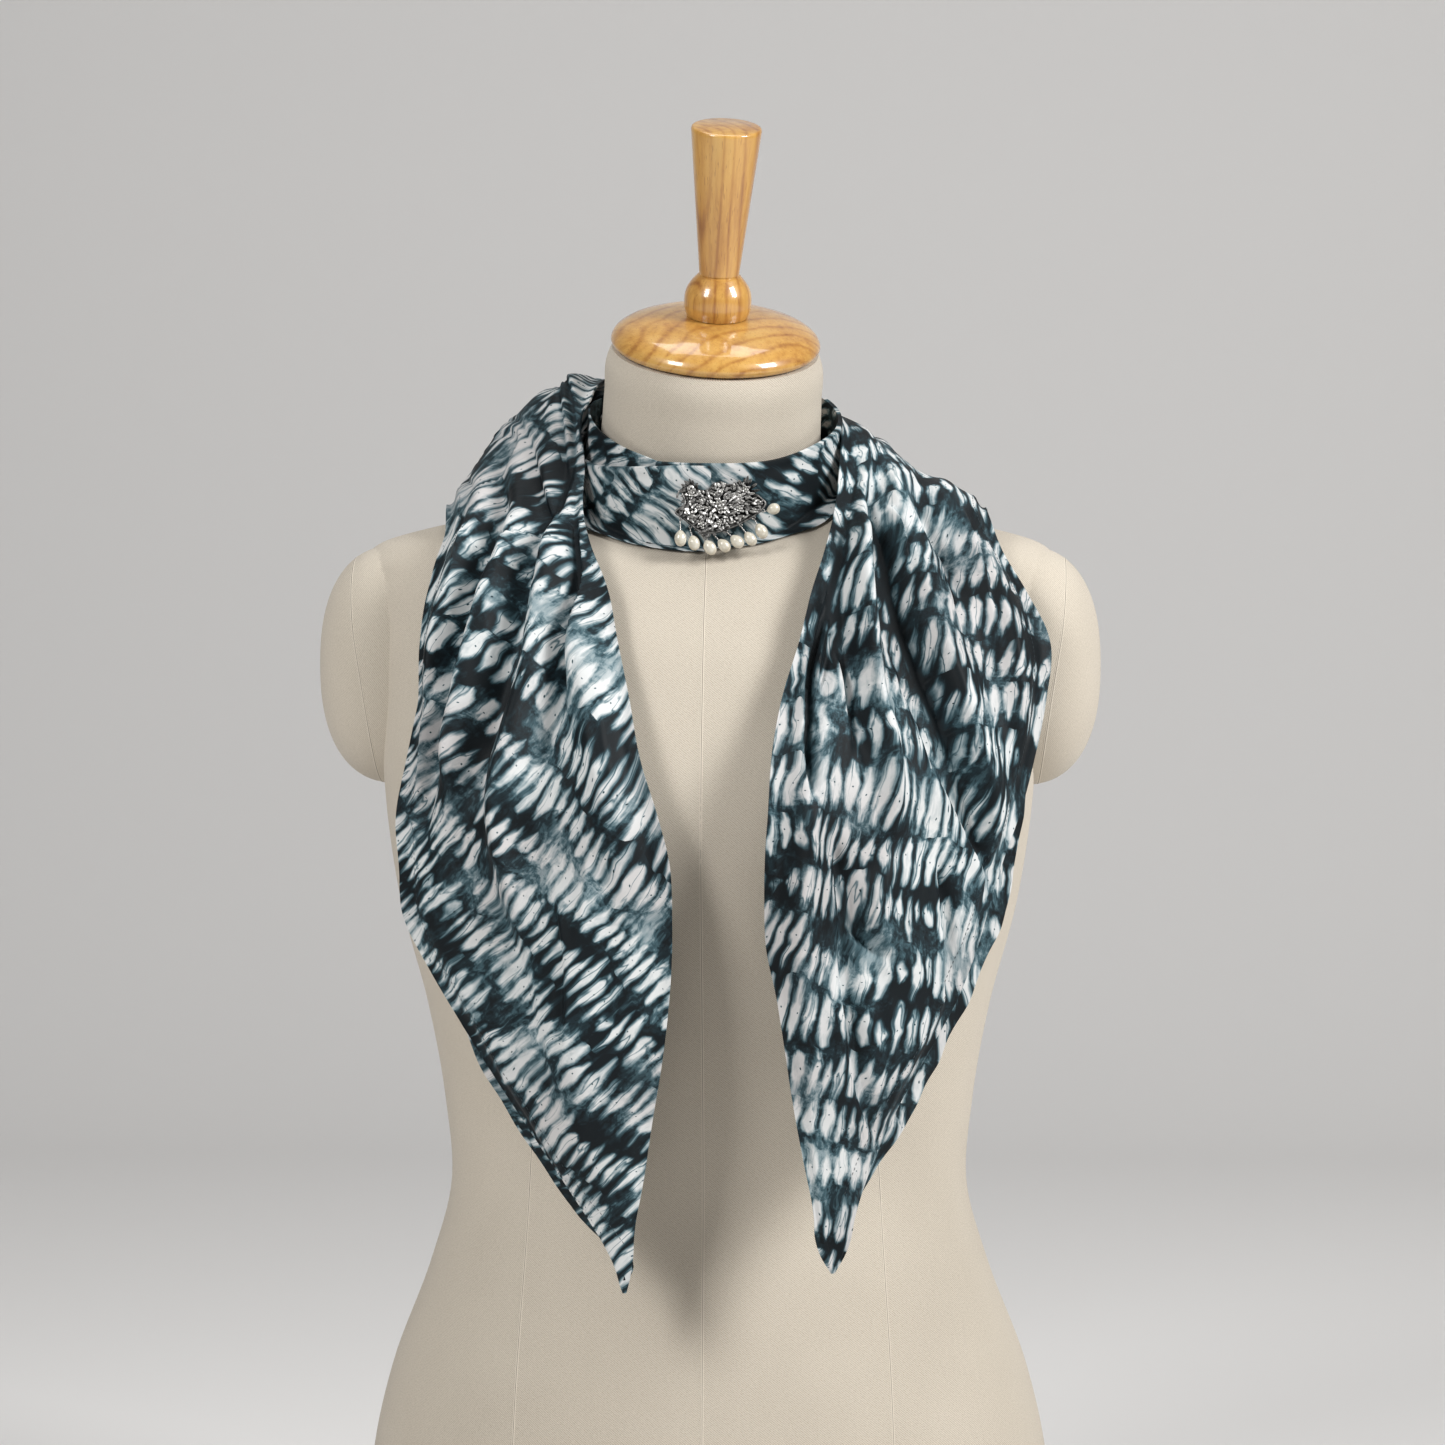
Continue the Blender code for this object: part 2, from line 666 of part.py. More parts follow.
def fold_lines():
    """Each fold: its lift, inner and outer reach, and its line as stations and shares across."""
    table, _, _ = scarf_edges()
    run = table[:, 0]
    tail, behind = len(RIGHT_HAND_TAIL), len(BACK)
    lines = []
    for folds, rows, runs, back in (
        (RIGHT_HAND_FOLDS, RIGHT_HAND_TAIL, run[:tail], run[tail : tail + behind]),
        (LEFT_HAND_FOLDS, LEFT_HAND_TAIL, run[: tail + behind - 1 : -1], run[tail : tail + behind][::-1]),
    ):
        heights, inner, outer = np.array(rows, float)[:, :3].T
        for lift, inner_reach, outer_reach, shares, path in folds:
            x, z = np.array(path, float).T
            edge, width = np.interp(z, heights, inner), np.interp(z, heights, outer - inner)
            line = list(zip(np.interp(z, heights, runs), (x - edge) / width))
            line = list(zip(back[: len(shares)], shares))[::-1] + line
            lines.append((lift * MM, inner_reach * MM, outer_reach * MM, sorted(line)))
    for lift, inner_reach, outer_reach, path in BACK_FOLDS:
        line = [(np.interp(row + tail, range(len(run)), run), share) for row, share in path]
        lines.append((lift * MM, inner_reach * MM, outer_reach * MM, line))
    return lines


def scarf_lift(points, stations, least_reach):
    """How far the cloth stands out for its folds and for the air beneath it."""
    u = np.linspace(0, 1, points.shape[1])[None, :]
    width = np.linalg.norm(np.diff(points, axis=1), axis=-1).sum(axis=1)[:, None]
    lift = np.zeros(points.shape[:2])
    _, right_crest, left_crest = scarf_edges()
    over = sum(np.exp(-(((stations - crest) / 0.05) ** 2)) for crest in (right_crest, left_crest))
    for height, inner_reach, outer_reach, line in fold_lines():
        first, last = line[0][0], line[-1][0]
        share = through(line, stations)
        across = (u - share) * width
        reach = np.maximum(np.where(across > 0, outer_reach, inner_reach), least_reach)
        end = np.minimum(0.045, (last - first) * 0.35)
        taper = ease(first - 0.3 * end, first + end, stations)
        taper = taper * (1 - ease(last - end, last + 0.3 * end, stations))
        lift += height * (taper * (1 - SHOULDER_EASE * over))[:, None] * np.exp(-((across / reach) ** 2))
    puff = 6 * MM * np.clip(width / 0.09, 0, 1) * ease(0, 0.16, u) * (1 - ease(0.86, 1, u))
    edge = 0.2 + 0.8 * ease(0, 0.15, u) * (1 - ease(0.9, 1, u))
    return np.clip((lift + puff) * edge, 0, None)


def at_stations(grid, even, stations):
    """A grid whose rows are at even stations, read at other stations."""
    i = np.clip(np.searchsorted(even, stations) - 1, 0, len(even) - 2)
    share = (stations - even[i]) / (even[i + 1] - even[i])
    share = share.reshape(-1, *(1,) * (grid.ndim - 1))
    return grid[i] * (1 - share) + grid[i + 1] * share


def make_scarf(surface, cotton):
    """The two tails, the stretch behind the neck, and the under layer of each tail."""
    table, right_crest, left_crest = scarf_edges()
    end = table[-1, 0]
    even = np.linspace(0, end, LAYING_ROWS)
    base = scarf_base(surface, even, CLOTH_COLUMNS)
    normal = grid_normals(base)
    lift = scarf_lift(base, even, LEAST_FOLD_REACH)[..., None]
    stretches = (
        ("right_tail", 0.0, right_crest - SEAM_GAP / 2, TAIL_ROWS),
        ("back_drape", right_crest + SEAM_GAP / 2, left_crest - SEAM_GAP / 2, BACK_ROWS),
        ("left_tail", left_crest + SEAM_GAP / 2, end, TAIL_ROWS),
    )
    for name, first, last, rows in stretches:
        stations = np.linspace(first, last, rows)
        laid = at_stations(base, even, stations)
        for _ in range(3):
            laid = clear_between(surface, laid, BODY_CLEARANCE * 0.8)
        outward = at_stations(normal, even, stations)
        stand = at_stations(lift, even, stations)
        wall_solid(name, laid + outward * (stand + CLOTH_WALL), laid + outward * stand, cotton)
    under_layers = (
        ("right_tail_under_layer", 0.004, right_crest - 0.075, RIGHT_HAND_PAST),
        ("left_tail_under_layer", left_crest + 0.075, end - 0.004, LEFT_HAND_PAST),
    )
    for name, first, last, past in under_layers:
        stations = np.linspace(first, last, UNDER_ROWS)
        laid = at_stations(base, even, stations)
        outward = at_stations(normal, even, stations)
        make_under_layer(name, surface, laid, outward, past, cotton)


def make_under_layer(name, surface, base, normal, past_table, cotton):
    """The tail's second layer, just behind the first and standing past its lower outer edge."""
    edge = as_seen(base[:, -1])[:, 1]
    past = through(np.array(past_table) * MM, edge)[:, 0]
    width = np.linalg.norm(base[:, -1] - base[:, 0], axis=-1)
    reach = 1 + past / np.maximum(width, 0.012)
    columns = base.shape[1]
    outer, outward = [], []
    for row, direction, far in zip(base, normal, reach):
        at = np.linspace(0.03, far, UNDER_COLUMNS) * (columns - 1)
        i = np.clip(at.astype(int), 0, columns - 2)
        share = (at - i)[:, None]
        outer.append(row[i] + (row[i + 1] - row[i]) * share - direction[i] * PLY_GAP)
        outward.append(direction[i])
    outer, outward = np.array(outer), np.array(outward)
    inner = clear_of(surface, outer - outward * UNDER_WALL, UNDER_CLEARANCE)
    wall_solid(name, inner + outward * UNDER_WALL, inner, cotton)


def band_point(angle, height, step):
    """A point of the band's middle surface, in the neck's own frame, in metres."""
    share = np.clip((height * MM + 0.0925) / 0.0485, 0, 1)
    half_x = BAND_FOOT_RADII[0] + (BAND_TOP_RADII[0] - BAND_FOOT_RADII[0]) * share + step * MM
    half_y = BAND_FOOT_RADII[1] + (BAND_TOP_RADII[1] - BAND_FOOT_RADII[1]) * share + step * MM
    turn = np.radians(angle)
    return np.stack([half_x * np.sin(turn), -half_y * np.cos(turn), height * MM], axis=-1)


def make_band(surface, cotton):
    """The neckband, one strip that laps over itself in front, and the ply that shows above it."""
    angles = np.linspace(BAND[0][0], BAND[-1][0], 58)
    rows = through(BAND, angles)
    share = np.linspace(0, 1, 5)
    angle, part = np.meshgrid(angles, share, indexing="ij")
    height = rows[:, 1:2] + (rows[:, 0:1] - rows[:, 1:2]) * part
    bulge = 1.2 * np.sin(part * math.pi)
    step = rows[:, 2:3] + bulge
    middle = in_neck_frame(band_point(angle, height, step))
    outward = in_neck_frame(band_point(angle, height, step + 1)) - middle
    outward /= np.linalg.norm(outward, axis=-1, keepdims=True)
    middle = clear_of(surface, middle, BAND_CLEARANCE)
    band = wall_solid("neckband", middle + outward * BAND_WALL / 2, middle - outward * BAND_WALL / 2, cotton)
    angles = np.linspace(INNER_PLY[0][0], INNER_PLY[-1][0], 22)
    rows = through(INNER_PLY, angles)
    angle, part = np.meshgrid(angles, np.linspace(0, 1, 4), indexing="ij")
    height = rows[:, 1:2] + (rows[:, 0:1] - rows[:, 1:2]) * part
    middle = in_neck_frame(band_point(angle, height, -2.0 + 0 * part))
    outward = ply_outward(angle) * PLY_WALL / 2
    wall_solid("inner_ply", middle + outward, middle - outward, cotton)
    return band


def make_collar_helper():
    """A closed shape over the band and the ply, which the drape is kept clear of."""
    collar = rings_solid("collar_clearance_block", turned_rings(COLLAR, 48), None)
    hide_as_helper(collar)
    return collar


def ply_outward(angle):
    turn = np.radians(angle)
    local = np.stack([np.sin(turn), -np.cos(turn), 0 * turn], axis=-1)
    return in_neck_frame(local) - in_neck_frame(0 * local)


def brooch_frame(band):
    """The plate's plane: x to the wearer's left, y up, z outward, its back just clear of the band."""
    place = seen_at(BROOCH_SEEN[0], BROOCH_SEEN[1], -0.06)
    turn = Matrix.Rotation(BROOCH_TURN, 4, "Z")
    facing = Matrix.Rotation(math.radians(90) - BROOCH_FACING_UP, 4, "X")
    frame = Matrix.Translation(place) @ turn @ facing
    outward = frame.to_3x3().col[2]
    below = surface_of(band)
    outline = np.array(BROOCH_OUTLINE + BROOCH_OUTLINE[:1]) * MM
    edge = np.concatenate([a + (b - a) * np.linspace(0, 1, 6)[:, None] for a, b in zip(outline, outline[1:])])
    highest = -1.0
    for scale in np.linspace(0.1, 1, 10):
        for x, y in edge * scale:
            hit = below.ray_cast(frame @ Vector((x, y, 40 * MM)), -outward)
            if hit[0]:
                highest = max(highest, 40 * MM - hit[3])
    return frame @ Matrix.Translation((0, 0, highest + BROOCH_GAP))


def make_brooch(frame, silver):
    """The half-moon plate with its raised border and flower heads, one casting."""
    outline = np.array(BROOCH_OUTLINE) * MM
    middle = outline.mean(axis=0)
    steps = (
        (0.985, 0.0),
        (1.0, 0.2 * MM),
        (1.0, BROOCH_WALL + BROOCH_BORDER),
        (0.93, BROOCH_WALL + BROOCH_BORDER),
        (0.90, BROOCH_WALL),
    )
    rings = []
    for scale, height in steps:
        ring = middle + (outline - middle) * scale
        rings.append([frame @ Vector((x, y, height)) for x, y in ring])
    plate = rings_solid("brooch_plate", rings, silver, smooth=False)
    for number, (x, y, radius, height) in enumerate(BROOCH_FLOWERS, 1):
        profile = ((1.0, -0.9), (1.0, 0.2), (0.62, 0.7), (0.2, 1.0))
        angle = np.linspace(0, 2 * math.pi, 8, endpoint=False)
        head = []
        for wide, high in profile:
            out = radius * MM * wide
            up = BROOCH_WALL + height * MM * high if high > 0 else BROOCH_WALL * (1 + high)
            head.append([
                frame @ Vector((x * MM + out * math.cos(a), y * MM + out * math.sin(a), up)) for a in angle
            ])
        join_to(plate, rings_solid("flower_head_block_%d" % number, head, silver, smooth=False))
    return plate


def make_pearl_drops(frame, surface, nacre):
    """Each pearl with its stem and eye. It hangs from the eye, which is the object's origin."""
    plane = frame.to_3x3()
    away = Vector((plane.col[2].x, plane.col[2].y, 0)).normalized()
    outline = np.array(BROOCH_OUTLINE) * MM
    rim = np.concatenate([
        a + (b - a) * np.linspace(0, 1, 20)[:, None] for a, b in zip(outline, np.roll(outline, -1, axis=0))
    ])
    for number, (eye_x, eye_y, x, y, radius, half) in enumerate(PEARL_DROPS, 1):
        off = np.array((eye_x, eye_y)) * MM - rim
        nearest = np.argmin(np.linalg.norm(off, axis=1))
        off = off[nearest] / np.linalg.norm(off[nearest])
        eye_x, eye_y = rim[nearest] + off * (EYE_RADIUS + BROOCH_GAP)
        eye = frame @ Vector((eye_x, eye_y, BROOCH_WALL / 2))
        pearl = frame @ Vector((x * MM, y * MM, BROOCH_WALL / 2))
        while surface.find_nearest(pearl)[3] < radius * MM + PEARL_REST_GAP:
            pearl += away * 0.1 * MM
        down = (pearl - eye).normalized()
        side = plane.col[2].cross(down).normalized()
        deep = side.cross(down)
        length = (pearl - eye).length
        profile = (
            (-EYE_RADIUS * 0.9, EYE_RADIUS * 0.4),
            (0.0, EYE_RADIUS),
            (EYE_RADIUS * 0.9, STEM_RADIUS),
            (length - half * 0.98 * MM, STEM_RADIUS),
            (length - half * 0.72 * MM, radius * 0.7 * MM),
            (length - half * 0.1 * MM, radius * MM),
            (length + half * 0.5 * MM, radius * 0.86 * MM),
            (length + half * 0.88 * MM, radius * 0.46 * MM),
            (length + half * MM, radius * 0.14 * MM),
        )
        angle = np.linspace(0, 2 * math.pi, 9, endpoint=False)
        rings = []
        for along, out in profile:
            ring = [down * along + side * out * math.cos(a) + deep * out * math.sin(a) for a in angle]
            rings.append(ring)
        drop = rings_solid("pearl_drop_%d" % number, rings, nacre)
        drop.location = eye


def main():
    clear_scene()
    cotton = finish_material("tie_dyed_cotton", (0.28, 0.36, 0.40), 0.75)
    linen = finish_material("linen_cover", (0.66, 0.61, 0.54), 0.9)
    timber = finish_material("varnished_wood", (0.55, 0.30, 0.10), 0.3)
    silver = finish_material("oxidised_silver", (0.45, 0.44, 0.42), 0.4, metallic=1.0)
    nacre = finish_material("cream_pearl", (0.85, 0.82, 0.72), 0.2)
    torso = make_form(linen, timber)
    bpy.context.view_layer.update()
    band = make_band(surface_of(torso), cotton)
    collar = make_collar_helper()
    bpy.context.view_layer.update()
    make_scarf(surface_of(torso, collar), cotton)
    frame = brooch_frame(band)
    make_brooch(frame, silver)
    make_pearl_drops(frame, surface_of(torso, band), nacre)


main()
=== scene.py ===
"""A tie-dyed neck scarf with a silver brooch on its dress form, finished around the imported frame."""

import json
import math

import bmesh
import bpy
import numpy as np
from mathutils import Matrix, Vector
from mathutils.bvhtree import BVHTree


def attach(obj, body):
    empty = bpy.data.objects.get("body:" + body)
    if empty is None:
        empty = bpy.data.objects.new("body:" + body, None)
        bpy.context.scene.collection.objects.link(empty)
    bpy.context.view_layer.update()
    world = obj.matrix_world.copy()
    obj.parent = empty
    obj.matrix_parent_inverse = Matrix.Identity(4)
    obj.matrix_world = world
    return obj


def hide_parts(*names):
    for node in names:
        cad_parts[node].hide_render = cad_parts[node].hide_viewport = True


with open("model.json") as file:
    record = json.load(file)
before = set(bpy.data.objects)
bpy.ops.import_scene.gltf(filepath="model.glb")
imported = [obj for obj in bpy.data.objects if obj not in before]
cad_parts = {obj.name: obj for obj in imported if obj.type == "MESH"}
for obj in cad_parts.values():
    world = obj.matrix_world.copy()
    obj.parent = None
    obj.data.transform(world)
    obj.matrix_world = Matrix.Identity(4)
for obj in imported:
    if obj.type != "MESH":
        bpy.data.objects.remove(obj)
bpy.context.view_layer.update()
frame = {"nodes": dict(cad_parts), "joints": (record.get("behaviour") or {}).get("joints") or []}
cad = frame["nodes"]
ROOT = "form_and_scarf"
MM = 0.001

# Camera
# A long lens 2.6 m in front of the form, four degrees above level and two degrees round to its left.
# Edges and seams below are measured as it sees them, on an upright plane through the form's middle.
EYE_DISTANCE = 2.6
EYE_AZIMUTH = math.radians(2.0)
EYE_ELEVATION = math.radians(4.0)
SEEN_CENTRE = np.array((0.0071, 0.0, 0.5003))
LENS_MM = 123.06
SENSOR_MM = 36.0
eye_back = np.array((
    math.sin(EYE_AZIMUTH) * math.cos(EYE_ELEVATION),
    -math.cos(EYE_AZIMUTH) * math.cos(EYE_ELEVATION),
    math.sin(EYE_ELEVATION),
))
eye_right = np.array((math.cos(EYE_AZIMUTH), math.sin(EYE_AZIMUTH), 0.0))
eye_up = np.cross(eye_back, eye_right)
eye = SEEN_CENTRE + eye_back * EYE_DISTANCE


def shown(name, data):
    """A new object in the scene."""
    made = bpy.data.objects.new(name, data)
    bpy.context.scene.collection.objects.link(made)
    return made


camera = shown("portrait_camera", bpy.data.cameras.new("portrait_camera"))
camera.data.sensor_width = SENSOR_MM
camera.data.lens = LENS_MM
camera.matrix_world = Matrix((*np.column_stack([eye_right, eye_up, eye_back, eye]).tolist(), (0, 0, 0, 1)))
bpy.context.scene.camera = camera


def seen_at(x, z, depth):
    """The point at this depth that is seen at x, z on the plane through the form's middle."""
    x, z, depth = (np.asarray(v, float) for v in (x, z, depth))
    on_plane = (
        SEEN_CENTRE
        + (x - SEEN_CENTRE[0])[..., None] * eye_right
        + (z - SEEN_CENTRE[2])[..., None] * eye_up
    )
    ray = on_plane - eye
    return eye + ray * ((depth - eye[1]) / ray[..., 1])[..., None]


def as_seen(points):
    """Where points are seen on that plane: x and z."""
    ray = points - eye
    on_plane = ray * (EYE_DISTANCE / -(ray @ eye_back))[..., None] + eye - SEEN_CENTRE
    return np.stack(
        [on_plane @ eye_right + SEEN_CENTRE[0], on_plane @ eye_up + SEEN_CENTRE[2]], axis=-1
    )


# Dress form
# A padded torso with a neck and two arm caps, covered in cream linen canvas that is cut in panels
# and stretched tight over the padding. The canvas has a fine slubbed twill weave.
TORSO = (  # height, half width, front, back, depth of the side line, in mm
    (12.3, 172, -112, 116, 4), (60, 180, -114, 126, 6), (110, 179, -112, 127, 6),
    (160, 168, -107, 118, 5), (215, 147.5, -98, 100, 3), (257, 136.3, -92, 86, 0),
    (302, 139, -95, 84, -2), (354, 148, -105, 90, -4), (407, 162, -116, 98, -2), (450, 169, -121, 104, 2),
    (480, 172, -118, 108, 6), (515, 176, -106, 110, 10), (550, 182, -88, 109, 14),
    (575, 186, -68, 105, 18), (588, 182, -54, 101, 20), (596, 170, -42, 98, 22), (602, 148, -34, 95, 24),
    (608, 120, -30, 92, 26), (614, 94, -28, 88, 26), (620, 74, -26, 84, 26), (626, 62, -24, 78, 26),
    (632, 54, -20, 70, 26),
)
SECTION_POWER = 2.25
FORM_ROWS = 150
FORM_COLUMNS = 200
BUST = (76, 462, 44, 48, 15)  # apex out, height, sideways and upright spread, lift, in mm
ARM_CAP = (165, 14, 530, 41, 52, 63)  # middle x, y, z, half sizes, in mm
ARM_CAP_POWER = 2.4
ARM_CAP_ROUND = 2.2
NECK_TOP = (0.0035, -0.005, 0.696)
NECK_TILT = math.radians(17.5)
NECK_LEAN = math.radians(3.6)
NECK = ((-115, 70), (-100, 67), (-85, 63), (-68, 60), (-50, 58), (-25, 57), (-5, 56), (0, 54))
TWILL_PITCH = 1.15 * MM
CANVAS_LIGHT = (0.635, 0.575, 0.485)
CANVAS_DARK = (0.300, 0.255, 0.195)


class Value:
    """One output of a node. Python operators on it add Math nodes to its tree."""

    def __init__(self, graph, socket):
        self.graph = graph
        self.socket = socket

    def of(self, output):
        """Another output of the same node."""
        return Value(self.graph, self.socket.node.outputs[output])

    def math(self, operation, *others):
        inputs = dict(enumerate((self, *others)))
        return self.graph.node("ShaderNodeMath", {"operation": operation}, inputs)

    def __add__(self, other):
        return self.math("ADD", other)

    def __sub__(self, other):
        return self.math("SUBTRACT", other)

    def __rsub__(self, other):
        return self.math("MULTIPLY", -1.0).math("ADD", other)

    def __mul__(self, other):
        return self.math("MULTIPLY", other)

    def __truediv__(self, other):
        return self.math("DIVIDE", other)

    def __pow__(self, other):
        return self.math("POWER", other)

    def __abs__(self):
        return self.math("ABSOLUTE")

    __radd__ = __add__
    __rmul__ = __mul__

    def smooth(self, low, high):
        """0 at low, 1 at high, and smooth between."""
        return self.graph.node(
            "ShaderNodeMapRange", {"interpolation_type": "SMOOTHSTEP"}, {0: self, 1: low, 2: high}
        )


class Graph:
    """The nodes of one shader or geometry tree."""

    def __init__(self, tree):
        self.tree = tree

    def node(self, kind, settings=None, inputs=None, output=0):
        made = self.tree.nodes.new(kind)
        for name, setting in (settings or {}).items():
            if name == "stops":
                ramp = made.color_ramp.elements
                while len(ramp) < len(setting):
                    ramp.new(0.5)
                for stop, (place, colour) in zip(ramp, setting):
                    stop.position = place
                    stop.color = (*colour, 1.0)
            else:
                setattr(made, name, setting)
        for name, given in (inputs or {}).items():
            if isinstance(given, Value):
                self.tree.links.new(given.socket, made.inputs[name])
            else:
                made.inputs[name].default_value = given
        return Value(self, made.outputs[output])

    def attribute(self, name):
        """A vector stored on each point of a geometry tree's mesh."""
        return self.node("GeometryNodeInputNamedAttribute", {"data_type": "FLOAT_VECTOR"}, {"Name": name})


class Finish(Graph):
    """A material on one Principled shader, whose constants are given by socket name."""

    def __init__(self, name, constants):
        self.material = bpy.data.materials.new(name)
        self.material.use_nodes = True
        super().__init__(self.material.node_tree)
        self.surface = self.tree.nodes["Principled BSDF"]
        for socket, value in constants.items():
            self.surface.inputs[socket].default_value = value

    def feed(self, socket, value):
        self.tree.links.new(value.socket, self.surface.inputs[socket])

    def bump(self, height, distance, strength=1.0):
        inputs = {"Height": height, "Distance": distance, "Strength": strength}
        self.feed("Normal", self.node("ShaderNodeBump", None, inputs))

    def place(self):
        return self.node("ShaderNodeTexCoord", None, None, "Object")

    def mapped(self, name):
        return self.node("ShaderNodeUVMap", {"uv_map": name})

    def scaled(self, vector, factors):
        return self.node("ShaderNodeVectorMath", {"operation": "MULTIPLY"}, {0: vector, 1: factors})

    def moved(self, vector, offset):
        return self.node("ShaderNodeVectorMath", {"operation": "ADD"}, {0: vector, 1: offset})

    def noise(self, vector, scale, detail=2.0, roughness=0.5, output=0):
        inputs = {"Vector": vector, "Scale": scale, "Detail": detail, "Roughness": roughness}
        return self.node("ShaderNodeTexNoise", None, inputs, output)

    def parts(self, vector):
        first = self.node("ShaderNodeSeparateXYZ", None, {0: vector})
        return first, first.of(1), first.of(2)

    def mix(self, share, one, other):
        return self.node("ShaderNodeMix", {"data_type": "RGBA"}, {0: share, 6: one, 7: other}, 2)

    def ramp(self, value, stops):
        return self.node("ShaderNodeValToRGB", {"stops": stops}, {0: value})


def through(rows, at):
    """A table whose first column is a position, read anywhere along smooth curves through its rows."""
    table = np.array(rows, float)
    place, values = table[:, 0], table[:, 1:]
    slope = np.gradient(values, place, axis=0)
    at = np.clip(np.atleast_1d(np.asarray(at, float)), place[0], place[-1])
    i = np.clip(np.searchsorted(place, at) - 1, 0, len(place) - 2)
    step = (place[i + 1] - place[i])[:, None]
    t = (at - place[i])[:, None] / step
    return (
        (2 * t**3 - 3 * t**2 + 1) * values[i]
        + (t**3 - 2 * t**2 + t) * step * slope[i]
        + (3 * t**2 - 2 * t**3) * values[i + 1]
        + (t**3 - t**2) * step * slope[i + 1]
    )


def gaps(points, axis=0):
    """The distances between neighbours of a grid of points."""
    return np.linalg.norm(np.diff(points, axis=axis), axis=-1)


def summed(steps, axis=0):
    """Running sums, from 0."""
    return np.insert(np.cumsum(steps, axis=axis), 0, 0, axis=axis)


def ease(low, high, value):
    """0 below low, 1 above high, and smooth between."""
    t = np.clip((np.asarray(value, float) - low) / (high - low), 0, 1)
    return t * t * (3 - 2 * t)


neck_frame = Matrix.Translation(NECK_TOP) @ (
    Matrix.Rotation(NECK_LEAN, 4, "Y") @ Matrix.Rotation(NECK_TILT, 4, "X")
)


def in_neck_frame(points):
    turned = np.array(neck_frame)
    return points @ turned[:3, :3].T + turned[:3, 3]


def piece_from(name, points, faces, materials, uvs=None, crease=45, uv_name="cloth"):
    """A mesh piece. uvs are one pair for each corner of each face, in metres."""
    mesh = bpy.data.meshes.new(name)
    mesh.from_pydata([tuple(p) for p in points], [], faces)
    if uvs is not None:
        layer = mesh.uv_layers.new(name=uv_name)
        layer.data.foreach_set("uv", np.asarray(uvs, np.float32).ravel())
    for material in materials:
        mesh.materials.append(material)
    mesh.shade_smooth()
    mesh.set_sharp_from_angle(angle=math.radians(crease))
    return shown(name, mesh)


def ringed(name, rings, material, crease=45):
    """A closed shape of rings, with each corner's way round and up the surface as its UV."""
    rings = np.array(rings)
    count, around = rings.shape[:2]
    closed = np.concatenate([rings, rings[:, :1]], axis=1)
    u = summed(gaps(closed, 1), 1)
    u -= u[:, around // 2 : around // 2 + 1]
    v = summed(gaps(rings).mean(axis=1))
    faces, uvs = [], []
    for r in range(count - 1):
        for c in range(around):
            d = (c + 1) % around
            faces.append((r * around + c, r * around + d, (r + 1) * around + d, (r + 1) * around + c))
            low, high = v[r], v[r + 1]
            uvs += [(u[r, c], low), (u[r, c + 1], low), (u[r + 1, c + 1], high), (u[r + 1, c], high)]
    faces.append(tuple(range(around))[::-1])
    uvs += [(u[0, c], v[0]) for c in range(around)][::-1]
    faces.append(tuple((count - 1) * around + c for c in range(around)))
    uvs += [(u[-1, c], v[-1]) for c in range(around)]
    made = piece_from(name, rings.reshape(-1, 3), faces, [material], uvs, crease)
    face_outward(made)
    return made


def face_outward(made):
    shape = bmesh.new()
    shape.from_mesh(made.data)
    bmesh.ops.recalc_face_normals(shape, faces=shape.faces)
    if shape.calc_volume(signed=True) < 0:
        bmesh.ops.reverse_faces(shape, faces=shape.faces)
    shape.to_mesh(made.data)
    shape.free()


def turned_rings(profile, around):
    """Rings of a shape turned about the neck's axis, from rows of height and radius in mm."""
    angle = math.pi / 2 + np.linspace(0, 2 * math.pi, around, endpoint=False)
    rings = []
    for height, radius in profile:
        ring = np.stack(
            [radius * np.cos(angle), radius * np.sin(angle), np.full(around, height)], axis=-1
        )
        rings.append(in_neck_frame(ring * MM))
    return rings


def squared(value, power):
    """A sine or cosine made squarer or rounder, its sign kept."""
    return np.sign(value) * np.abs(value) ** power


def torso_rings(rows, columns):
    """Level sections of the padded torso, with a soft bust."""
    heights = np.array([r[0] for r in TORSO])
    spread = np.interp(np.linspace(0, len(heights) - 1, rows), range(len(heights)), heights)
    angle = math.pi / 2 + np.linspace(0, 2 * math.pi, columns, endpoint=False)
    power = 2 / SECTION_POWER
    across, deep = squared(np.cos(angle), power), squared(np.sin(angle), power)
    apex_x, apex_z, spread_x, spread_z, lift = BUST
    rings = []
    for height, (half, front, back, side) in zip(spread, through(TORSO, spread)):
        x = half * across
        y = side + np.where(deep < 0, side - front, back - side) * deep
        bust = np.exp(-(((np.abs(x) - apex_x) / spread_x) ** 2) - ((height - apex_z) / spread_z) ** 2)
        y = y - lift * bust * np.clip(-deep, 0, 1) ** 0.7
        rings.append(np.stack([x, y, np.full(columns, height)], axis=-1) * MM)
    return rings


def arm_cap_rings(side, rows, columns):
    """A rounded arm cap, turned about the sideways axis, its inner end inside the torso."""
    x, y, z, half_x, half_y, half_z = ARM_CAP
    power = 2 / ARM_CAP_POWER
    angle = np.linspace(0, 2 * math.pi, columns, endpoint=False)
    c, s = squared(np.cos(angle), 2 / ARM_CAP_ROUND), squared(np.sin(angle), 2 / ARM_CAP_ROUND)
    rings = []
    for t in np.linspace(-0.45, 1, rows):
        lean = t * math.pi / 2 * 0.98
        out, wide = squared(math.sin(lean), power), math.cos(lean) ** power
        ring = (np.full(columns, side * (x + half_x * out)), y + half_y * wide * c, z + half_z * wide * s)
        rings.append(np.stack(ring, axis=-1) * MM)
    return rings


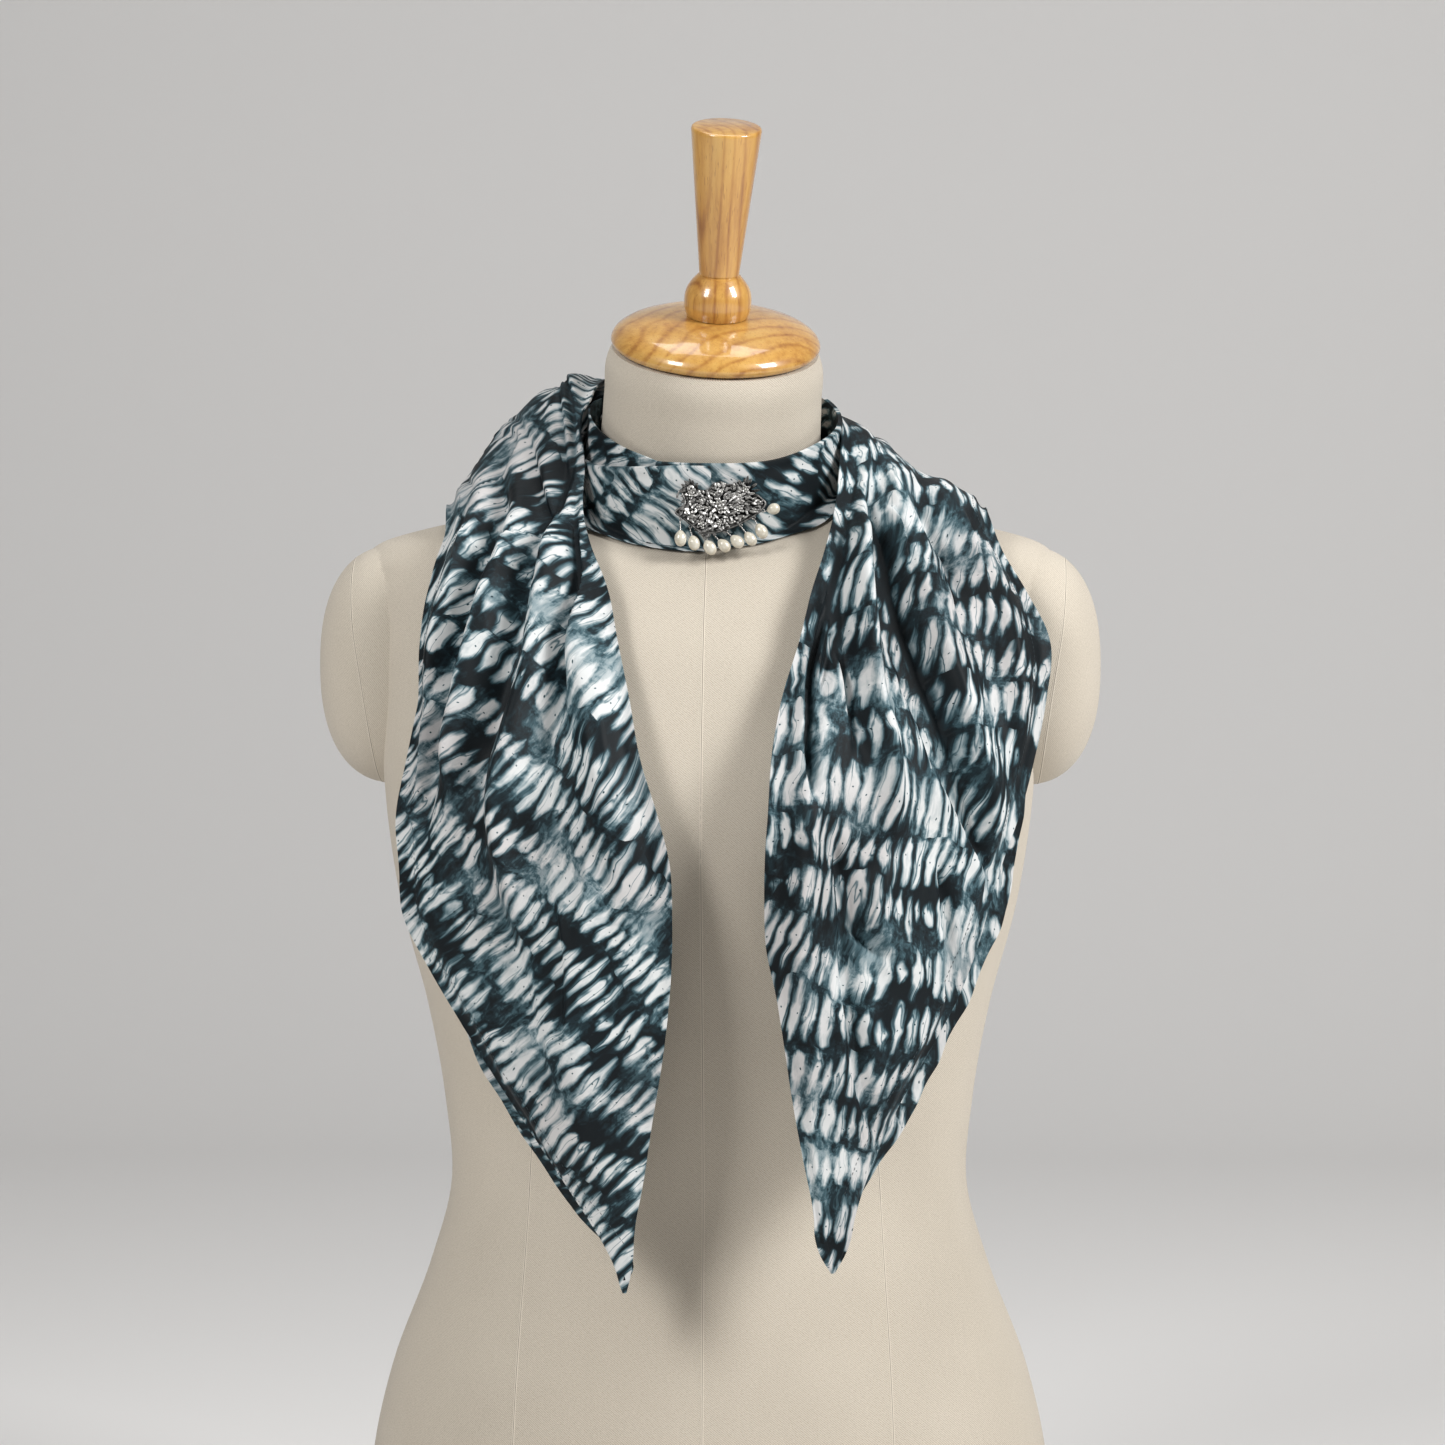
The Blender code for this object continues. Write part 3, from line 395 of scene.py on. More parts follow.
def settled(thing):
    """Turns an object into what its modifiers make of it."""
    bpy.context.view_layer.update()
    made = bpy.data.meshes.new_from_object(thing.evaluated_get(bpy.context.evaluated_depsgraph_get()))
    thing.modifiers.clear()
    thing.data = made
    return thing


def canvas_finish():
    """Cream linen canvas: a diagonal twill of light threads, slubs, and a little uneven ageing."""
    canvas = Finish("cream_canvas", {"Roughness": 0.92, "Sheen Weight": 0.12, "Specular IOR Level": 0.2})
    cloth = canvas.mapped("cloth")
    place = canvas.place()
    u, v, _ = canvas.parts(cloth)
    wander = canvas.noise(cloth, 420.0, 3.0)
    diagonal = (u * 0.82 + v) * (2 * math.pi / TWILL_PITCH) + wander * 3.4
    crossing = (v * 0.9 - u) * (2 * math.pi / (TWILL_PITCH * 0.62)) + wander * 1.2
    twill = diagonal.math("SINE") * 0.36 + crossing.math("SINE") * 0.12 + 0.5
    slub = canvas.noise(canvas.scaled(cloth, (450.0, 2600.0, 1.0)), 1.0, 3.0)
    speck = canvas.noise(cloth, 1150.0, 3.0, 0.75)
    weave = twill * 0.36 + slub * 0.28 + speck * 0.36
    ageing = canvas.noise(place, 7.0, 3.0, 0.6)
    tone = weave.smooth(0.22, 0.66) * 0.8 + ageing * 0.4 - 0.06
    colour = canvas.mix(tone, (*CANVAS_DARK, 1.0), (*CANVAS_LIGHT, 1.0))
    canvas.feed("Base Color", colour)
    canvas.bump(weave, 0.35 * MM, 0.55)
    return canvas.material


canvas = canvas_finish()
form = ringed("form_cover", torso_rings(FORM_ROWS, FORM_COLUMNS), canvas)
neck_heights = np.linspace(-115, 0, 60)
neck_profile = list(zip(neck_heights, through(NECK, neck_heights)[:, 0]))
for joined in (
    ringed("neck_padding", turned_rings(neck_profile, 120), canvas),
    ringed("arm_cap_right", arm_cap_rings(-1, 48, 96), canvas),
    ringed("arm_cap_left", arm_cap_rings(1, 48, 96), canvas),
):
    union = form.modifiers.new("join", "BOOLEAN")
    union.operation = "UNION"
    union.solver = "EXACT"
    union.object = joined
    settled(form)
    bpy.data.objects.remove(joined, do_unlink=True)
form.data.shade_smooth()
form.data.set_sharp_from_angle(angle=math.radians(40))
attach(form, ROOT)
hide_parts("torso_form")


def surface_of(*things):
    """One search tree over the outsides of these objects."""
    points, faces = [], []
    for thing in things:
        start = len(points)
        points += [v.co.copy() for v in thing.data.vertices]
        thing.data.calc_loop_triangles()
        faces += [tuple(start + i for i in t.vertices) for t in thing.data.loop_triangles]
    return BVHTree.FromPolygons(points, faces)


# Canvas seams
# The panels are joined down the middle, over the bust and round the arm caps. Each seam is pressed
# open beneath and shows as two low lips, with a thin dark strip of painted shade laid in the groove between
# them.
SEAM_LIP = 0.7 * MM
SEAM_RISE = 0.16 * MM
SEAM_GAP_RADIUS = 0.17 * MM
SEAM_STEP = 4.0 * MM
MIDDLE_SEAM_X = 0.0004
PRINCESS_SEAM = (
    (12, 99), (70, 101), (154, 99), (243, 93.5), (300, 90), (380, 84), (462, 79), (540, 84), (600, 92),
)
ARM_SEAM = ((463, 172), (500, 177), (530, 181), (560, 185), (590, 187), (600, 187))
form_surface = surface_of(form)


def spaced(points, step):
    """The same line with its points a step apart."""
    points = np.asarray(points, float)
    run = summed(gaps(points))
    at = np.linspace(0, run[-1], max(2, int(run[-1] / step) + 1))
    return np.stack([np.interp(at, run, points[:, k]) for k in range(3)], axis=-1)


def struck_from(origin, direction):
    """Where a ray from the outside first meets the form, or None."""
    hit, _, _, _ = form_surface.ray_cast(Vector(origin), Vector(direction))
    return hit


def upright_seam(xs, zs, side):
    """A seam that runs up the form's front or back at these places across."""
    line = [struck_from((x, side * 0.4, z), (0, -side, 0)) for x, z in zip(xs, zs)]
    return [p for p in line if p is not None]


seam_lines = []
heights = np.linspace(0.0125, 0.595, 150)
seam_lines.append(upright_seam(np.full(150, MIDDLE_SEAM_X), heights, -1))
seam_lines.append(upright_seam(np.full(150, MIDDLE_SEAM_X), heights, 1))
for side in (-1, 1):
    across = through(np.array(PRINCESS_SEAM) * MM, heights)[:, 0]
    seam_lines.append(upright_seam(side * across + 0.0004 - 0.002 * side, heights, -1))
    seam_lines.append(upright_seam(side * across * 0.92, heights, 1))
    around = np.linspace(0, 2 * math.pi, 121)
    ring = []
    for turn in around:
        high = ARM_CAP[2] * MM + 0.06 * math.sin(turn)
        x = side * through(np.array(ARM_SEAM) * MM, high)[0, 0]
        inside = Vector((x, ARM_CAP[1] * MM, ARM_CAP[2] * MM))
        outward = Vector((0, math.cos(turn), math.sin(turn)))
        hit = struck_from(inside + outward * 0.3 + Vector((x - inside.x, 0, 0)), -outward)
        if hit is not None:
            ring.append(hit)
    seam_lines.append(ring)


def path_object(name, lines, ups):
    """Loose edges along lines, each point with the direction that is up from the surface there."""
    points, edges, directions = [], [], []
    for line, up in zip(lines, ups):
        start = len(points)
        points += [tuple(p) for p in line]
        directions += [tuple(d) for d in up]
        edges += [(start + i, start + i + 1) for i in range(len(line) - 1)]
    mesh = bpy.data.meshes.new(name)
    mesh.from_pydata(points, edges, [])
    attribute = mesh.attributes.new("up", "FLOAT_VECTOR", "POINT")
    attribute.data.foreach_set("vector", np.array(directions, np.float32).ravel())
    return shown(name, mesh)


def geometry_graph(name, sizes):
    """A Geometry Nodes tree with a named input for each size. Returns it with its inputs."""
    tree = bpy.data.node_groups.new(name, "GeometryNodeTree")
    tree.interface.new_socket("Geometry", in_out="INPUT", socket_type="NodeSocketGeometry")
    tree.interface.new_socket("Geometry", in_out="OUTPUT", socket_type="NodeSocketGeometry")
    for size in sizes:
        tree.interface.new_socket(size, in_out="INPUT", socket_type="NodeSocketFloat")
    graph = Graph(tree)
    entry = graph.node("NodeGroupInput")
    return graph, entry, {size: entry.of(size) for size in sizes}


def grown(source, graph, shape, material, sizes):
    """Ends a tree in real geometry with a material, and turns the source into what it makes."""
    real = graph.node("GeometryNodeRealizeInstances", None, {0: shape})
    inked = graph.node("GeometryNodeSetMaterial", None, {0: real, "Material": material})
    leave = graph.tree.nodes.new("NodeGroupOutput")
    graph.tree.links.new(inked.socket, leave.inputs[0])
    modifier = source.modifiers.new(graph.tree.name, "NODES")
    modifier.node_group = graph.tree
    for item in graph.tree.interface.items_tree:
        if item.in_out == "INPUT" and item.name in sizes:
            modifier[item.identifier] = float(sizes[item.name])
    return settled(source)


def routed(graph, entry):
    """The path edges as curves whose normals are the surface's up."""
    curve = graph.node("GeometryNodeMeshToCurve", None, {0: entry})
    return graph.node(
        "GeometryNodeSetCurveNormal", {"mode": "FREE"}, {"Curve": curve, "Normal": graph.attribute("up")}
    )


def round_profile(graph, resolution, radius):
    return graph.node(
        "GeometryNodeCurvePrimitiveCircle", {"mode": "RADIUS"}, {"Resolution": resolution, "Radius": radius}
    )


def swept(graph, entry, profile):
    """A profile carried along the path, its ends closed."""
    inputs = {"Curve": routed(graph, entry), "Profile Curve": profile, "Fill Caps": True}
    tube = graph.node("GeometryNodeCurveToMesh", None, inputs)
    return graph.node("GeometryNodeSetShadeSmooth", None, {0: tube})


def seam_graph():
    """Two low lips swept along each seam."""
    graph, entry, sizes = geometry_graph("canvas_seam", ("Lip", "Rise"))
    profile = round_profile(graph, 8, sizes["Lip"])
    flat = graph.node("ShaderNodeCombineXYZ", None, {0: sizes["Rise"] / sizes["Lip"], 1: 0.5, 2: 1.0})
    shifts = []
    for side in (-0.6, 0.6):
        offset = graph.node("ShaderNodeCombineXYZ", None, {0: 0.0, 1: sizes["Lip"] * side, 2: 0.0})
        shifts.append(graph.node(
            "GeometryNodeTransform", None, {0: profile, "Translation": offset, "Scale": flat}
        ))
    both = graph.node("GeometryNodeJoinGeometry", None, {0: shifts[0]})
    graph.tree.links.new(shifts[1].socket, both.socket.node.inputs[0])
    return graph, swept(graph, entry, both)


def swept_wire(name, lines, radius, resolution, material):
    """Round wires along lines given as points."""
    wires = path_object(name, lines, [[(0, 0, 1)] * len(line) for line in lines])
    graph, entry, sizes = geometry_graph(name + "_sweep", ("Radius",))
    wire = swept(graph, entry, round_profile(graph, resolution, sizes["Radius"]))
    return grown(wires, graph, wire, material, {"Radius": radius})


seam_paths, seam_ups = [], []
for line in seam_lines:
    line = spaced(line, SEAM_STEP)
    found = [form_surface.find_nearest(Vector(p)) for p in line]
    seam_paths.append([f[0] for f in found])
    seam_ups.append([f[1] for f in found])
seams = path_object("canvas_seams", seam_paths, seam_ups)
graph, shape = seam_graph()
seams = grown(seams, graph, shape, canvas, {"Lip": SEAM_LIP, "Rise": SEAM_RISE})
# Painted shade: a thin dark strip in the groove between each seam's lips, where there is only shade
seam_painted_shade = Finish("seam_shade", {"Roughness": 0.95, "Base Color": (0.125, 0.100, 0.075, 1.0)})
seam_painted_shade.bump(seam_painted_shade.noise(seam_painted_shade.place(), 1800.0, 2.0), 0.1 * MM)
seam_gap = swept_wire("canvas_seam_gap", seam_paths, SEAM_GAP_RADIUS, 6, seam_painted_shade.material)
for seam in (seams, seam_gap):
    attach(seam, ROOT)

# Turned wood
# The neck cap, its finial and the base board are light streaky wood, turned and sanded, then sprayed
# with a thick clear varnish. The cap's grain sweeps across it and the finial's runs up it.
CAP = ((0.3, 50), (1.4, 53), (4, 54.8), (7.5, 53.6), (11, 49.5), (14.5, 41), (17, 30), (18.6, 15))
CAP_TOP = (18.75, 8.0)
FINIAL = (
    (18.9, 16), (22.5, 17.2), (27.5, 17.6), (32.5, 16.8), (37, 14.2), (40.6, 11.1),
)
FINIAL_NECK = ((41.0, 10.2), (41.4, 10.1), (41.9, 10.5))
FINIAL_CONE = ((42.2, 10.5), (80, 14.4), (117.0, 18.2))
FINIAL_TOP = ((118.4, 18.3), (119.4, 17.9), (119.8, 17.0))
WOOD_PALE = (0.690, 0.430, 0.125)
WOOD_LIGHT = (0.590, 0.320, 0.075)
WOOD_MID = (0.450, 0.210, 0.042)
WOOD_DARK = (0.265, 0.098, 0.020)


def wood_finish(name, middle, turn, ring_pitch):
    """Varnished wood whose grain runs along its own z from a middle, with growth rings round it."""
    wood = Finish(name, {"Roughness": 0.34, "Coat Weight": 1.0, "Coat Roughness": 0.07})
    local = wood.node(
        "ShaderNodeMapping", {"vector_type": "TEXTURE"},
        {"Vector": wood.place(), "Location": middle, "Rotation": turn},
    )
    bend = wood.noise(wood.scaled(local, (22.0, 22.0, 5.0)), 1.0, 2.0)
    x, y, _ = wood.parts(local)
    radius = (x * x + y * y) ** 0.5
    ring = (radius * (2 * math.pi / ring_pitch) + bend * 15.0).math("SINE") * 0.5 + 0.5
    line = ring ** 5.0
    streak = wood.noise(wood.scaled(local, (230.0, 230.0, 7.0)), 1.0, 4.0, 0.7)
    broad = wood.noise(wood.scaled(local, (62.0, 62.0, 5.0)), 1.0, 2.0)
    pore = wood.noise(wood.scaled(local, (1300.0, 1300.0, 55.0)), 1.0, 2.0)
    cloud = wood.noise(wood.scaled(local, (24.0, 24.0, 10.0)), 1.0, 2.0)
    tone = streak * 0.55 + broad * 0.45 + cloud * 0.35 - line * 0.20 * (cloud + 0.3) - 0.13
    stops = ((0.22, WOOD_DARK), (0.40, WOOD_MID), (0.56, WOOD_LIGHT), (0.82, WOOD_PALE))
    grain = wood.ramp(tone, stops)
    dark_pore = pore.smooth(0.60, 0.70) * 0.5
    wood.feed("Base Color", wood.mix(dark_pore, grain, (*WOOD_DARK, 1.0)))
    wood.bump(streak, 0.05 * MM, 0.5)
    return wood.material


cap_wood = wood_finish("cap_wood", (0.05, -0.05, 0.62), (math.radians(62), math.radians(38), 0), 0.0085)
finial_wood = wood_finish("finial_wood", (-0.03, -0.03, 0.70), (NECK_TILT, NECK_LEAN, 0), 0.0065)


def smooth_profile(rows, count):
    """Rows of height and radius with rounded steps between them, spaced along the profile."""
    rows = np.array(rows, float)
    run = summed(gaps(rows))
    return through(np.column_stack([run, rows]), np.linspace(0, run[-1], count))


cap_profile = np.concatenate([smooth_profile(CAP, 40), [CAP_TOP]])
cap = ringed("neck_cap_turning", turned_rings(cap_profile, 128), cap_wood)
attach(cap, ROOT)
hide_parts("neck_cap")
finial_profile = np.concatenate([
    smooth_profile(FINIAL, 30), FINIAL_NECK, smooth_profile(FINIAL_CONE, 12), smooth_profile(FINIAL_TOP, 6)
])
finial = ringed("finial_turning", turned_rings(finial_profile, 96), finial_wood)
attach(finial, ROOT)
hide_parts("cap_finial")
foot = torso_rings(2, 160)[0]
board_steps = ((0.957, 0.0), (0.965, 0.5), (0.97, 1.8), (0.97, 10.2), (0.966, 11.5), (0.955, 12.0))
board = ringed(
    "base_board_edge", [foot * (s, s, 0) + (0, 0, z * MM) for s, z in board_steps], finial_wood, 35
)
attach(board, ROOT)
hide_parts("base_board")

# Scarf
# One length of fine cotton, folded, stitched and tied before dyeing, so that it carries rows of white
# petals with a needle prick in each. It is hemmed all round, bunched at the band and spread on the chest.
CLOTH_THICKNESS = 0.9 * MM
BODY_CLEARANCE = 4.0 * MM
COLLAR = (
    (-114, 64), (-106, 69.6), (-98, 70.8), (-90, 70.2), (-60, 67), (-44, 65), (-38, 63.5), (-35.5, 58.5),
)
HEM = 11 * MM
HEM_RISE = 0.4 * MM
# Tail edges as seen from the front, in mm, from the tip up:
# height, inner edge, outer edge, depth of the inner edge, depth of the outer edge, crown
RIGHT_HAND_TAIL = (
    (200, -43.4, -45.4, -139, -139, 0), (212, -40.6, -46.6, -140, -138, 0),
    (233, -39, -59, -141, -135, -1), (259.5, -34.3, -76, -142, -131, -3),
    (291, -29.6, -97, -143, -126, -5), (320, -24.8, -116, -144, -120, -7),
    (346, -21.6, -132, -145, -112, -8), (372.5, -19.6, -147.5, -146, -104, -8),
    (399, -19.3, -160.5, -146, -97, -8), (425, -20.6, -162.5, -145, -92, -8),
    (449, -26.4, -164.3, -144, -88, -7), (480.5, -36, -158.5, -138, -80, -5),
    (512, -41.7, -152, -122, -68, -4), (543.5, -48, -147, -102, -54, -3),
    (570, -53, -141.8, -86, -40, -3), (594, -62, -138, -64, -24, -2), (612, -66, -138.5, -44, -8, 0),
)
LEFT_HAND_TAIL = (
    (210.5, 64.2, 66.2, -139, -139, 0), (222, 57.4, 72.4, -140, -137, 0),
    (243, 54.8, 76.9, -141, -134, -1), (270, 49.5, 86, -142, -130, -3), (299, 44.2, 99.3, -143, -124, -5),
    (330, 39.5, 116.6, -144, -117, -7), (356, 35.3, 130.7, -145, -110, -8),
    (381, 30, 140.2, -146, -103, -8), (407, 29, 147.8, -146, -97, -8), (432, 29.5, 155.4, -145, -92, -8),
    (454, 31, 163.5, -144, -88, -7), (480.5, 32.6, 170.5, -139, -82, -5), (512, 38, 177, -122, -72, -4),
    (543.5, 47.5, 179, -102, -60, -3), (568, 53.5, 167, -86, -46, -3), (590, 60.5, 154, -66, -30, -2),
    (610, 65.5, 147, -46, -12, 0),
)
# The cloth behind the shoulders, in mm, from the wearer's right shoulder round to the left:
# inner edge x, y, z, outer edge x, y, z, crown out, crown up
BACK = (
    (-63.5, -19, 638, -138, 20, 611, 0, 8), (-62.5, 6, 667, -136, 46, 606, 2, 22),
    (-55, 40, 680, -128, 88, 575, 8, 22), (-35, 66, 684, -98, 124, 545, 14, 12),
    (0, 76, 687, -30, 140, 523, 16, 4), (33, 68, 680, 42, 139, 521, 16, 3),
    (59, 43, 670, 104, 122, 545, 11, 4), (68.5, 10, 658, 138, 84, 576, 5, 7),
    (68.5, -18, 637, 146, 34, 605, 0, 6),
)
# Folds of the tails. Each has its lift in mm (less than 0 is a groove), its reach to the inner and to
# the outer side in mm, its shares of the way across behind the shoulder at the rows of BACK,
# counted from that shoulder, and its path down the front as it is seen there, x and height in mm.
RIGHT_HAND_FOLDS = (
    (8, 8, 14, (), ((-60, 565), (-58, 530), (-52, 495), (-44, 455), (-38, 400))),
    (-13, 4, 7, (0.14, 0.11), ((-69.5, 590), (-69, 545), (-71, 515), (-79, 490), (-86, 470))),
    (12, 8, 11, (0.22, 0.2, 0.14), ((-76, 600), (-79, 560), (-84, 525), (-92, 490), (-97, 440), (-92, 390))),
    (-10, 5, 7, (0.33, 0.29, 0.22), ((-84, 602), (-89, 570), (-95, 540), (-104, 505), (-112, 465))),
    (12, 7, 9, (0.44, 0.4, 0.32), ((-94, 604), (-102, 575), (-112, 540), (-122, 495), (-128, 440))),
    (-10, 5, 6, (0.55, 0.5, 0.42), ((-104, 604), (-112, 580), (-120, 545), (-131, 505), (-149, 430))),
    (8, 6, 8, (0.68, 0.62, 0.54), ((-116, 604), (-124, 580), (-134, 540), (-144, 495), (-152, 450))),
    (6, 14, 22, (), ((-60, 440), (-62, 390), (-66, 340), (-62, 290), (-54, 245))),
    (-5, 7, 10, (), ((-110, 430), (-98, 380), (-86, 330), (-74, 290))),
)
LEFT_HAND_FOLDS = (
    (10, 8, 8, (), ((62, 570), (59, 550), (54, 520), (48, 470), (44, 420), (42, 360))),
    (-15, 5, 5, (0.09, 0.06), ((70, 600), (65, 560), (58, 525), (51, 490), (49, 455))),
    (14, 6, 8, (0.15, 0.12), ((76, 600), (74, 560), (78, 520), (86, 480), (92, 440))),
    (-9, 4, 5, (), ((68, 580), (68, 545), (73, 505), (77, 480))),
    (-18, 7, 5, (0.22, 0.2), ((83, 602), (88, 580), (94, 550), (111, 505), (121, 480), (141, 430))),
    (13, 6, 17, (0.32, 0.3, 0.24), ((92, 602), (100, 575), (112, 540), (124, 505), (134, 470), (144, 430))),
    (-9, 5, 7, (0.5, 0.46, 0.38), ((108, 602), (120, 580), (130, 555))),
    (9, 8, 11, (0.64, 0.6, 0.5), ((122, 604), (138, 580), (150, 550), (158, 510), (160, 470))),
    (7, 5, 16, (), ((92, 440), (80, 400), (86, 380), (96, 362))),
    (-7, 4, 6, (), ((62, 440), (66, 410), (77, 386), (90, 372))),
    (-7, 4, 5, (), ((72, 430), (68, 380), (73, 340), (78, 305), (86, 280))),
    (-6, 4, 6, (), ((117, 430), (122, 390), (124, 352))),
)
SHOULDER_EASE = 0.95
# Folds that hang in swags behind: lift, reach up and down in mm, then row of BACK and share across
BACK_FOLDS = (
    (9, 9, 11, ((1.2, 0.3), (2.5, 0.26), (4, 0.24), (5.5, 0.26), (7, 0.34))),
    (-6, 8, 8, ((1.5, 0.44), (3, 0.42), (4.5, 0.42), (6, 0.44), (7, 0.48))),
    (12, 11, 12, ((0.6, 0.6), (2, 0.62), (4, 0.66), (6, 0.64), (7.4, 0.6))),
    (-5, 7, 7, ((0.6, 0.82), (2, 0.84), (4, 0.86), (6, 0.86), (7.4, 0.82))),
)
# Sharp creases of the tails: lift in mm (less than 0 is a groove), reach to the inner and to the outer
# side in mm, the heights in mm of the lips that stand beside the groove, at its inner side or, where
# less than 0, at its outer side, and the path down the front as it is seen there, x and height in mm.
RIGHT_HAND_CREASES = (
    (-18, 1.5, 1.8, (7.0, -4.5), ((-68.4, 617.9), (-67.9, 585.8), (-68.4, 543.7), (-70.5, 522.6),
        (-74.7, 504.2), (-79.5, 488.4))),
    (-4, 1.5, 3, (), ((-107.4, 656.8), (-111.1, 645.8), (-115.3, 633.2), (-121.1, 617.4))),
    (-7, 2, 4, (2.5,), ((-109.5, 582.1), (-117.9, 546.8), (-123.2, 521.6), (-131.1, 510))),
    (-5, 2, 4, (2.0,), ((-133.2, 528.4), (-143.2, 503.2), (-149.5, 477.9), (-153.2, 456.3))),
    (-4, 1.5, 3, (1.0,), ((-80.5, 585.8), (-82.6, 576.8), (-89.5, 563.7))),
    (-7, 1.6, 3.4, (2.0,), ((-64.2, 640.5), (-73.2, 622.6), (-79.5, 607.4), (-84.2, 573.7))),
    (-6, 1.6, 4, (1.5,), ((-55.8, 681.1), (-79.5, 669.5), (-101.1, 648.9), (-111.1, 645.8),
        (-117.9, 627.4), (-124.7, 612.1))),
    (-7, 1.6, 4, (2.0,), ((-57.4, 665.8), (-72.6, 657.4), (-82.6, 644.2), (-91.1, 620.5),
        (-101.1, 597.4), (-109.5, 580.5))),
    (-6, 1.6, 3.5, (1.5,), ((-64.2, 648.9), (-71.1, 632.1), (-75.8, 610.5), (-80, 583.7),
        (-82.6, 573.7))),
    (3, 3, 2.2, (), ((-62.6, 633.2), (-62.6, 596.3), (-57.4, 564.7), (-55.3, 533.2), (-51.1, 501.6),
        (-44.2, 464.7), (-36.3, 427.9))),
    (3.2, 3, 3, (), ((-99.5, 585.8), (-105.8, 554.2), (-110, 522.6), (-113.2, 496.3))),
    (3.2, 2.4, 2.4, (), ((-121.6, 606.8), (-126.8, 580.5), (-130, 554.2), (-133.7, 533.2))),
    (2.2, 3, 4, (), ((-88.9, 512.1), (-96.8, 480.5), (-99.5, 448.9), (-95.3, 406.8))),
    (1.8, 3, 5, (), ((-62.6, 480.5), (-57.4, 438.4), (-59.5, 396.3), (-67.9, 354.2))),
    (-2.4, 1.6, 3, (1.0,), ((-78.4, 417.4), (-72.1, 385.8), (-70.5, 348.9), (-73.2, 312.1))),
)
LEFT_HAND_CREASES = (
    (-18, 1.5, 2.0, (-5.5, 5.5), ((70.5, 608.9), (65.3, 573.2), (58.4, 549.5), (53.2, 529.5),
        (50, 495.8), (49.5, 464.2))),
    (-18, 1.6, 2.8, (7.0, -3.5), ((80.5, 612.1), (88.4, 591.1), (94.2, 563.2), (99.5, 546.3),
        (104.7, 534.7), (114.2, 509.5), (123.7, 486.8), (132.1, 464.7))),
    (-7, 1.8, 3, (2.5,), ((71.6, 573.2), (68.4, 549.5), (70, 530.5), (71.6, 512.6), (75.3, 491.1))),
    (3.2, 2.4, 2.4, (), ((73.2, 608.4), (82.6, 585.8), (88.4, 576.3), (91.6, 546.3), (100, 517.4))),
    (-6, 1.8, 3, (3.0,), ((105.3, 516.3), (115.3, 497.4), (125.3, 468.9), (140.5, 428.9),
        (153.2, 406.8))),
    (-7, 1.4, 3.2, (3.5,), ((64.2, 438.4), (67.4, 415.3), (68.9, 407.4), (77.9, 387.4), (90.5, 373.7))),
    (-4.5, 1.4, 2.4, (2.0,), ((67.4, 376.8), (70.5, 352.1), (74.7, 330.5), (77.9, 307.4),
        (82.6, 290.5), (85.8, 281.1))),
    (-5, 1.4, 2.6, (2.5,), ((116.8, 428.9), (121.1, 395.3), (122.6, 361.1), (124.2, 352.1))),
    (-4, 1.6, 2.6, (1.5,), ((140, 438.4), (144.2, 417.4), (144.2, 407.4), (145.8, 398.4))),
    (-5, 1.6, 3, (1.5,), ((85.8, 617.4), (90, 606.8), (96.3, 585.8), (98.9, 564.7))),
    (-4, 1.6, 3, (1.5,), ((110, 606.8), (117.4, 585.8), (121.6, 564.7), (126.8, 543.7))),
    (-3, 1.6, 3, (1.0,), ((131.1, 601.6), (138.4, 580.5), (145.3, 554.2), (147.9, 533.2))),
    (2.2, 3, 3, (), ((96.3, 612.1), (102.1, 596.3), (106.8, 575.3), (110, 543.7))),
    (-3.4, 2, 3, (1.5,), ((57.4, 585.8), (54.2, 554.2), (51.1, 533.2))),
)
LIP_OFFSET = 2.8 * MM
LIP_NEAR = 1.4 * MM
LIP_FAR = 5 * MM
FOLD_LEAN = 0.28
FOLD_SHARPNESS = 2
CREASE_SHARPNESS = 1.25
CREASE_EASE = 0.5
SLOT_SHARPNESS = 3.2
SLOT_DEPTH = 9 * MM
# Painted shade in the deep creases: the groove depth at which it is full, and how far it reaches
PAINTED_SHADE_FULL_DEPTH = 15 * MM
PAINTED_SHADE_REACH = 3.0 * MM
PUFF = 6 * MM
RIPPLE = 0.45 * MM
PUCKER = 0.22 * MM
LEAST_LIFT = 0.2 * MM
PETAL_ROW = 27 * MM
PETAL_PITCH = 6.9 * MM


